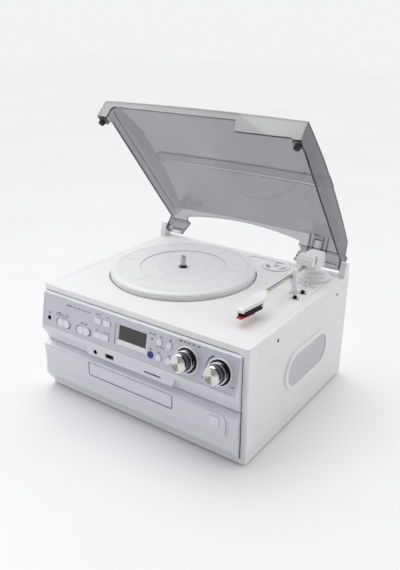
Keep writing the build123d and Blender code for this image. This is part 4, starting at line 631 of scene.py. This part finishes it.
def deck_print():
    """Numbers and ON and OFF behind the two levers and beside them."""
    ink = print_ink("deck_ink", 66).material
    words = (
        ("speed", "33 - 45 - 78", 119.5, 73.4, 2.7),
        ("auto_stop", "ON - OFF", 128.5, 67.6, 2.7),
        ("speed_near", "33 45", 131.0, 30.6, 1.9),
        ("stop_near", "ON", 131.5, 50.4, 1.9),
    )
    for name, text, x, y, size in words:
        lettering("print_" + name, text, deck_point(x, y), BACK, size, ink)


def turned(name, profile, origin, right, up, body, finish, steps=64):
    """A ring or disc turned about the axis through origin, from (radius, height) in millimetres."""
    builder = bmesh.new()
    rows = []
    for radius, height in profile:
        if radius < 0.001:
            rows.append([builder.verts.new((0.0, 0.0, height * MM))] * steps)
            continue
        rows.append([builder.verts.new((radius * MM * math.cos(2 * math.pi * k / steps),
                                        radius * MM * math.sin(2 * math.pi * k / steps), height * MM))
                     for k in range(steps)])
    closed = profile[0][0] >= 0.001
    pairs = list(zip(rows, rows[1:])) + ([(rows[-1], rows[0])] if closed else [])
    for inner, outer in pairs:
        for k in range(steps):
            corners = []
            for vertex in (inner[k], outer[k], outer[(k + 1) % steps], inner[(k + 1) % steps]):
                if vertex not in corners:
                    corners.append(vertex)
            if len(corners) > 2:
                builder.faces.new(corners)
    bmesh.ops.recalc_face_normals(builder, faces=builder.faces)
    piece = new_piece(name, builder, finish)
    turn = Matrix((right, up, right.cross(up))).transposed().to_4x4()
    piece.matrix_world = Matrix.Translation(origin) @ turn
    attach(piece, body)


def ring(inner, outer, low, high):
    """The closed profile of a plain ring, for turned."""
    return [(inner, low), (outer, low), (outer, high), (inner, high)]


def knob_faces():
    """Spun face with painted fans, plated edges with painted reflections, sides painted dark, a painted
    shadow ring at the skirt, pale collar and painted shadow in the gap of the two large knobs.
    """
    spun = spun_metal_painted_fans().material
    dark = chrome_painted_dark().material
    painted_reflection_chrome = chrome_painted_reflection().material
    # black for the painted shadow rings
    gap = finish_of["black_plastic"]
    white = finish_of["white_shell"]
    for knob, across in KNOBS:
        foot = PANEL_FOOT + RIGHT * across * MM + PANEL_UP * KNOB_UP * MM
        rise = knob_rise(knob, foot)
        parts = (
            ("face", knob, spun, [(0.0, rise - 0.3), (9.5, rise - 0.3), (9.7, rise + 0.05),
                                  (9.2, rise + 0.15), (0.0, rise + 0.12)]),
            # painted reflection on the plated edge and rim
            ("edge", knob, painted_reflection_chrome, [(9.6, rise - 0.5), (10.5, rise - 1.3), (10.55, rise - 0.7),
                                      (9.95, rise + 0.05), (9.7, rise)]),
            # painted shade: grip and shelf darkened for the shaded panel they reflect
            ("grip", knob, dark, ring(10.42, 10.56, rise - 8.4, rise - 1.3)),
            ("shelf", knob, dark, ring(10.45, 11.7, rise - 9.0, rise - 8.5)),
            ("rim", knob, painted_reflection_chrome, [(11.7, rise - 9.2), (12.5, rise - 9.8), (12.58, rise - 12.6),
                                     (12.45, rise - 12.6), (11.6, rise - 9.5)]),
            # painted shadow: black rings where the skirt meets the drum and in the gap at the collar
            ("skirt_painted_shadow", knob, gap, [(12.5, 3.5), (12.7, 3.68), (13.0, 3.6), (13.46, 3.2),
                                       (13.46, 1.8), (13.3, 1.8)]),
            ("collar", "cabinet", white, [(14.62, 1.2), (14.62, 1.5), (15.2, 1.5), (16.1, 0.5),
                                          (16.1, 0.05)]),
            ("gap", "cabinet", gap, ring(13.75, 14.6, 1.2, 1.47)),
        )
        for name, body, finish, profile in parts:
            turned(f"{knob}_{name}", profile, foot, RIGHT, PANEL_UP, body, finish)


def knob_rise(body, foot):
    """How far a knob's face stands off the panel, in millimetres."""
    start = foot + PANEL_OUT * 40 * MM + RIGHT * 3 * MM
    return (meet(body + "_knob", start, -PANEL_OUT) - foot).dot(PANEL_OUT) / MM


def platter_lines():
    """Painted shade in the turned grooves of the platter, and the washer, collar and end of its spindle."""
    x, y = (value * MM for value in PLATTER_CENTRE)
    shade = shaded_plastic().material
    black = finish_of["black_plastic"]
    # painted shade: grey rings where the platter's turned grooves are
    for name, inner, outer in (("groove", 87.0, 88.0), ("step", 57.7, 58.3), ("inner", 32.0, 32.5)):
        reach = (inner + outer) / 2 * MM  # probed along (0.6, 0.8), a unit direction
        top = meet("platter", Vector((x + reach * 0.6, y + reach * 0.8, ABOVE)), -UP).z
        turned("platter_" + name, ring(inner, outer, -0.15, 0.04), Vector((x, y, top)), RIGHT, BACK,
               "turntable", shade, 160)
    dish = Vector((x, y, meet("platter", Vector((x + 7 * MM, y, ABOVE)), -UP).z))
    turned("spindle_washer", ring(4.1, 5.9, -0.1, 0.9), dish, RIGHT, BACK, "turntable", black)
    turned("spindle_collar", ring(3.62, 3.9, -0.1, 3.0), dish, RIGHT, BACK, "turntable", black)
    top = Vector((x, y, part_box("spindle")[1][2]))
    turned("spindle_end", ring(0.0, 1.2, -0.1, 0.08), top, RIGHT, BACK, "cabinet", black, 24)


def strip(name, path, width, cast, body, finish, closed=False):
    """A thin band along a path of (u, v), laid where cast finds the surface."""
    count = len(path)
    sides = []
    for k in range(count):
        before = Vector(path[k - 1] if closed or k else path[k])
        after = Vector(path[(k + 1) % count] if closed or k < count - 1 else path[k])
        along = (after - before).normalized()
        aside = Vector((-along.y, along.x)) * width / 2
        here = Vector(path[k])
        sides.append((cast(*(here + aside)), cast(*(here - aside))))
    builder = bmesh.new()
    rows = [(builder.verts.new(a), builder.verts.new(b)) for a, b in sides]
    for first, second in list(zip(rows, rows[1:])) + ([(rows[-1], rows[0])] if closed else []):
        builder.faces.new((first[0], first[1], second[1], second[0]))
    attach(new_piece(name, builder, finish), body)


def rounded(left, low, right, high, radius, steps=6):
    """A closed outline with round corners."""
    points = []
    for u, v, start in ((right - radius, high - radius, 0), (left + radius, high - radius, 90),
                        (left + radius, low + radius, 180), (right - radius, low + radius, 270)):
        points += arc(u, v, radius, start, start + 90, steps)
    return points


def cover_point(across, reach, height):
    """A point in the open cover: right of its middle, away from its hinge, and up toward its top."""
    return COVER_HINGE + (RIGHT * across - COVER_BACK * reach + COVER_OUT * height) * MM


def inside_cover(point, direction):
    """On the inner face of the cover, just clear of it."""
    return meet("dust_cover", point, direction) - direction * 0.05 * MM


def cover_lines():
    """The painted shade lines of the cover, where its ribs, steps and edges are seen along the sheet."""
    finish = painted_shade_line().material

    def on_top(across, reach):
        return inside_cover(cover_point(across, reach, 12.0), COVER_OUT)

    def on_left(reach, height):
        return inside_cover(cover_point(-120.0, reach, height), -RIGHT)

    def on_right(reach, height):
        return inside_cover(cover_point(130.0, reach, height), RIGHT)

    left, right = -120.0, 144.0  # across
    near, far = 121.4, 140.6  # reach of the rib's two edges
    radius = (far - near) / 2
    bend = left + radius
    path = straight((right, near), (bend, near), 24)
    path += arc(bend, (near + far) / 2, radius, 252, 108, 8)
    path += straight((bend, far), (right, far), 24)
    # painted shade lines along the rib, the step and the rims
    for name, points, width, cast in (
        ("rib_line", path, 0.8, on_top),
        ("left_step", straight((222.0, 24.1), (18.0, 25.8), 17), 0.7, on_left),
        ("left_rim", straight((212.0, 15.3), (8.0, 15.3), 17), 0.9, on_left),
        ("right_rim", straight((216.0, 3.6), (24.0, 3.6), 16), 1.5, on_right),
    ):
        strip("cover_" + name, points, width, cast, "cover", finish)


def front_lines():
    """Painted shadow in the gaps round the drawer and the fascias and at the step in the deck; black discs
    on the side screws and a black ring at the jack's mouth.
    """
    gap = finish_of["black_plastic"]
    shade = painted_shade_line().material

    def on_front_of(node):
        def cast(x, z):
            return meet(node, Vector((x * MM, IN_FRONT, z * MM)), BACK) - BACK * LINE_HEIGHT
        return cast

    def on_deck(x, y):
        return deck_point(x, y) + UP * LINE_HEIGHT

    # painted shadow: a black band in the gap round the drawer
    strip("drawer_gap", rounded(-71.9, 46.3, 61.0, 64.7, 3.0), 0.9, on_front_of("lower_fascia"),
          "cabinet", gap, closed=True)
    # painted shadow lines in the gaps above and beside the fascias
    for name, first, last, steps, width, node in (
        ("fascia_gap", (-151.0, 141.0), (143.0, 141.0), 49, 0.7, "top_deck"),
        ("upper_side_gap", (147.9, 139.0), (147.9, 73.0), 11, 0.7, "front_moulding"),
        ("lower_side_gap", (148.0, 71.6), (148.0, 8.6), 10, 1.0, "front_moulding"),
    ):
        strip(name, straight(first, last, steps), width, on_front_of(node), "cabinet", shade)
    # painted shade along the step round the sunk part of the deck
    step = [(62.0, 11.8), (100.0, 11.8)] + arc(136.2, 17.8, 6.0, 270, 360, 6)
    step += [(142.2, 60.0), (142.2, 112.0)]
    strip("sunk_area_line", step, 0.8, on_deck, "cabinet", deck_line().material)
    # a black disc laid over each side screw head
    for hand, side in (("left", -1), ("right", 1)):
        for name, y in SIDE_SCREWS:
            seat = meet("case_screws", Vector((side * BESIDE, y * MM, SCREW_HEIGHT * MM)), RIGHT * -side)
            turned(f"screw_dark_disc_{hand}_{name}", ring(0.0, 1.9, -0.2, 0.06), seat, BACK * side, UP,
                   "cabinet", gap, 24)
    turned("headphone_mouth", ring(1.9, 2.75, -0.3, 0.25), panel_point(*HEADPHONE), RIGHT, PANEL_UP,
           "cabinet", gap, 32)


def prism(name, outline, origin, right, up, depth, body, finish, rounding):
    """A solid with rounded edges: an outline of (u, v) in millimetres, depth thick along right x up."""
    out = right.cross(up)
    builder = bmesh.new()
    low = [builder.verts.new(origin + right * u * MM + up * v * MM) for u, v in outline]
    high = [builder.verts.new(vertex.co + out * depth * MM) for vertex in low]
    builder.faces.new(low)
    builder.faces.new(high)
    for k in range(len(low)):
        following = (k + 1) % len(low)
        builder.faces.new((low[k], low[following], high[following], high[k]))
    bmesh.ops.recalc_face_normals(builder, faces=builder.faces)
    piece = new_piece(name, builder, finish)
    bevel = piece.modifiers.new("rounding", "BEVEL")
    bevel.width = rounding * MM
    bevel.segments = 3
    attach(piece, body)
    return piece


def arm_pieces():
    """Finer cartridge and stylus, the arm's sleeve and cowl, the step on its base, and its rest post."""
    black = finish_of["black_plastic"]
    white = finish_of["white_shell"]
    below_tube = Vector((ARM_TUBE.x, 0.0, 0.0))
    cartridge = prism("cartridge_body", [(-4.0, -79.6), (5.4, -79.6), (9.8, -50.0), (9.4, -46.8),
                                         (-4.0, -46.8)],
                      below_tube + UP * 160.4 * MM, RIGHT, BACK, 5.7, "arm", black, 0.5)
    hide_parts("cartridge")
    stylus = prism("stylus_body", [(-3.3, -84.0), (3.6, -84.0), (7.9, -62.0), (-3.3, -62.0)],
                   below_tube + UP * 159.0 * MM, RIGHT, BACK, 2.0, "arm", finish_of["stylus_red"], 0.3)
    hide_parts("stylus")
    turned("arm_sleeve", ring(2.35, 5.2, 0.0, 4.0), ARM_TUBE + BACK * 78.8 * MM, RIGHT, UP, "arm", white, 48)
    # the cowl's back follows the pivot housing, and clears it through the whole lift
    cowl_side = Vector((0.1072, ARM_BASE.y, ARM_TUBE.z))
    prism("arm_cowl", [(-21.9, 3.2), (-21.9, 8.0), (-20.9, 10.4), (-19.0, 13.6), (-28.8, 13.6),
                       (-30.6, 11.2), (-30.6, 3.2)], cowl_side, BACK, UP, 22.3, "arm", white, 0.5)
    prism("arm_cowl_lip", [(-28.0, 13.3), (-18.8, 13.3), (-18.8, 14.8), (-15.4, 14.8), (-15.4, 15.5),
                           (-27.4, 15.5)], cowl_side + RIGHT * 0.8 * MM, BACK, UP, 20.7, "arm", white, 0.2)
    turned("arm_base_step", [(7.7, 3.0), (16.5, 3.0), (16.5, 6.9), (15.8, 7.6), (7.7, 7.6)], ARM_BASE,
           RIGHT, BACK, "cabinet", white)
    prism("rest_post", [(2.7, 35.2), (8.2, 35.2), (8.2, 41.0), (2.7, 41.0)],
          below_tube + UP * 151.2 * MM, RIGHT, BACK, 29.2, "cabinet", white, 0.8)


# ---------------------------------------------------------------- stage, light, camera

def stage():
    """A plain pale floor under an even pale sky."""
    graph = Graph("floor_paper")
    graph.colour(graph.noise(3.0), grey(236, 2), grey(239, 2))
    graph.set(Roughness=0.9, Specular_IOR_Level=0.1)
    builder = bmesh.new()
    bmesh.ops.create_grid(builder, x_segments=8, y_segments=8, size=6.0)
    floor = new_piece("floor", builder, graph.material)
    floor.location = UP * -0.2 * MM  # just clear of the feet

    world = bpy.data.worlds.new("studio")
    bpy.context.scene.world = world
    world.use_nodes = True
    tree = world.node_tree

    def calculate(operation, first, second):
        node = tree.nodes.new("ShaderNodeMath")
        node.operation = operation
        for slot, value in enumerate((first, second)):
            if isinstance(value, (int, float)):
                node.inputs[slot].default_value = value
            else:
                tree.links.new(value, node.inputs[slot])
        return node.outputs["Value"]

    def toward(direction, low, high, start, end):
        """A level that goes from low to high as a ray turns toward a direction."""
        turn = tree.nodes.new("ShaderNodeVectorMath")
        turn.operation = "DOT_PRODUCT"
        turn.inputs[1].default_value = Vector(direction).normalized()
        tree.links.new(where.outputs["Generated"], turn.inputs[0])
        span = tree.nodes.new("ShaderNodeMapRange")
        span.interpolation_type = "SMOOTHSTEP"
        for name, value in (("From Min", start), ("From Max", end), ("To Min", low), ("To Max", high)):
            span.inputs[name].default_value = value
        tree.links.new(turn.outputs["Value"], span.inputs["Value"])
        return span.outputs["Result"]

    where = tree.nodes.new("ShaderNodeTexCoord")
    path = tree.nodes.new("ShaderNodeLightPath")
    sky = tree.nodes["Background"]
    sky.inputs["Color"].default_value = (1.0, 1.0, 1.0, 1.0)
    # what lights the object: brighter from above, darker from low in front
    above = toward((-0.2, 0.25, 0.94), 0.50, 0.90, -0.3, 0.9)
    front = toward((0.15, -0.95, 0.20), 1.0, 0.25, 0.2, 0.9)
    tree.links.new(calculate("MULTIPLY", above, front), sky.inputs["Strength"])
    # what metal and gloss show: the pale room, a large soft window above, a dark place by the camera
    reflected = tree.nodes.new("ShaderNodeBackground")
    window = toward((-0.585, 0.04, 0.81), 0.0, 7.5, 0.945, 0.975)
    dark = toward((0.50, -0.62, 0.58), 1.0, 0.02, 0.80, 0.90)
    tree.links.new(calculate("ADD", calculate("MULTIPLY", dark, 0.9), window), reflected.inputs["Strength"])
    # what the camera sees, also through the cover
    plain = tree.nodes.new("ShaderNodeBackground")
    plain.inputs["Color"].default_value = grey(243, 2)
    plain.inputs["Strength"].default_value = 1.0
    clear = calculate("MAXIMUM", path.outputs["Is Camera Ray"], path.outputs["Is Transmission Ray"])
    first = tree.nodes.new("ShaderNodeMixShader")
    tree.links.new(path.outputs["Is Glossy Ray"], first.inputs["Fac"])
    tree.links.new(sky.outputs["Background"], first.inputs[1])
    tree.links.new(reflected.outputs["Background"], first.inputs[2])
    last = tree.nodes.new("ShaderNodeMixShader")
    tree.links.new(clear, last.inputs["Fac"])
    tree.links.new(first.outputs["Shader"], last.inputs[1])
    tree.links.new(plain.outputs["Background"], last.inputs[2])
    tree.links.new(last.outputs["Shader"], tree.nodes["World Output"].inputs["Surface"])


def shine(name, kind, energy, place, toward, **settings):
    """A light at a place, looking along toward."""
    light = bpy.data.lights.new(name, kind)
    light.energy = energy
    for key, value in settings.items():
        setattr(light, key, value)
    holder = bpy.data.objects.new(name, light)
    holder.location = place
    holder.rotation_euler = toward.to_track_quat("-Z", "Y").to_euler()
    bpy.context.scene.collection.objects.link(holder)


def lights():
    """Square lamps at the front left and behind on the right, under a broad soft sun from the upper left."""
    for name, power, size, place, target in (
        ("window", 2.0, 0.5, Vector((-0.62, -0.85, 0.42)), Vector((0.0, -0.13, 0.10))),
        ("fill", 1.55, 0.8, Vector((1.15, 0.50, 0.85)), Vector((0.12, 0.05, 0.12))),
    ):
        shine(name, "AREA", power, place, target - place, shape="SQUARE", size=size)
    shine("sky_panel", "SUN", 1.14, Vector(), Vector((0.30, -0.22, -1.0)), angle=math.radians(50))


def camera():
    """At the photograph's place, with its focal length in pixels over a frame 570 pixels high."""
    focal, height = 630.33, 570.0
    sensor = 36.0
    right = Vector((0.815770, 0.578347, 0.005856))
    up = Vector((-0.229853, 0.314888, 0.920876))
    forward = Vector((-0.530742, 0.752569, -0.389811))
    data = bpy.data.cameras.new("camera")
    data.sensor_fit = "VERTICAL"
    data.sensor_height = sensor
    data.lens = focal / height * sensor
    data.clip_start = 0.01
    data.clip_end = 50.0
    seat = bpy.data.objects.new("camera", data)
    turn = Matrix((right, up, -forward)).transposed().to_4x4()
    seat.matrix_world = Matrix.Translation((0.443454, -0.621626, 0.465310)) @ turn
    bpy.context.scene.collection.objects.link(seat)
    bpy.context.scene.camera = seat
    bpy.context.scene.view_settings.view_transform = "Standard"


dress_nodes()
panel_print()
deck_print()
knob_faces()
platter_lines()
cover_lines()
front_lines()
arm_pieces()
stage()
lights()
camera()
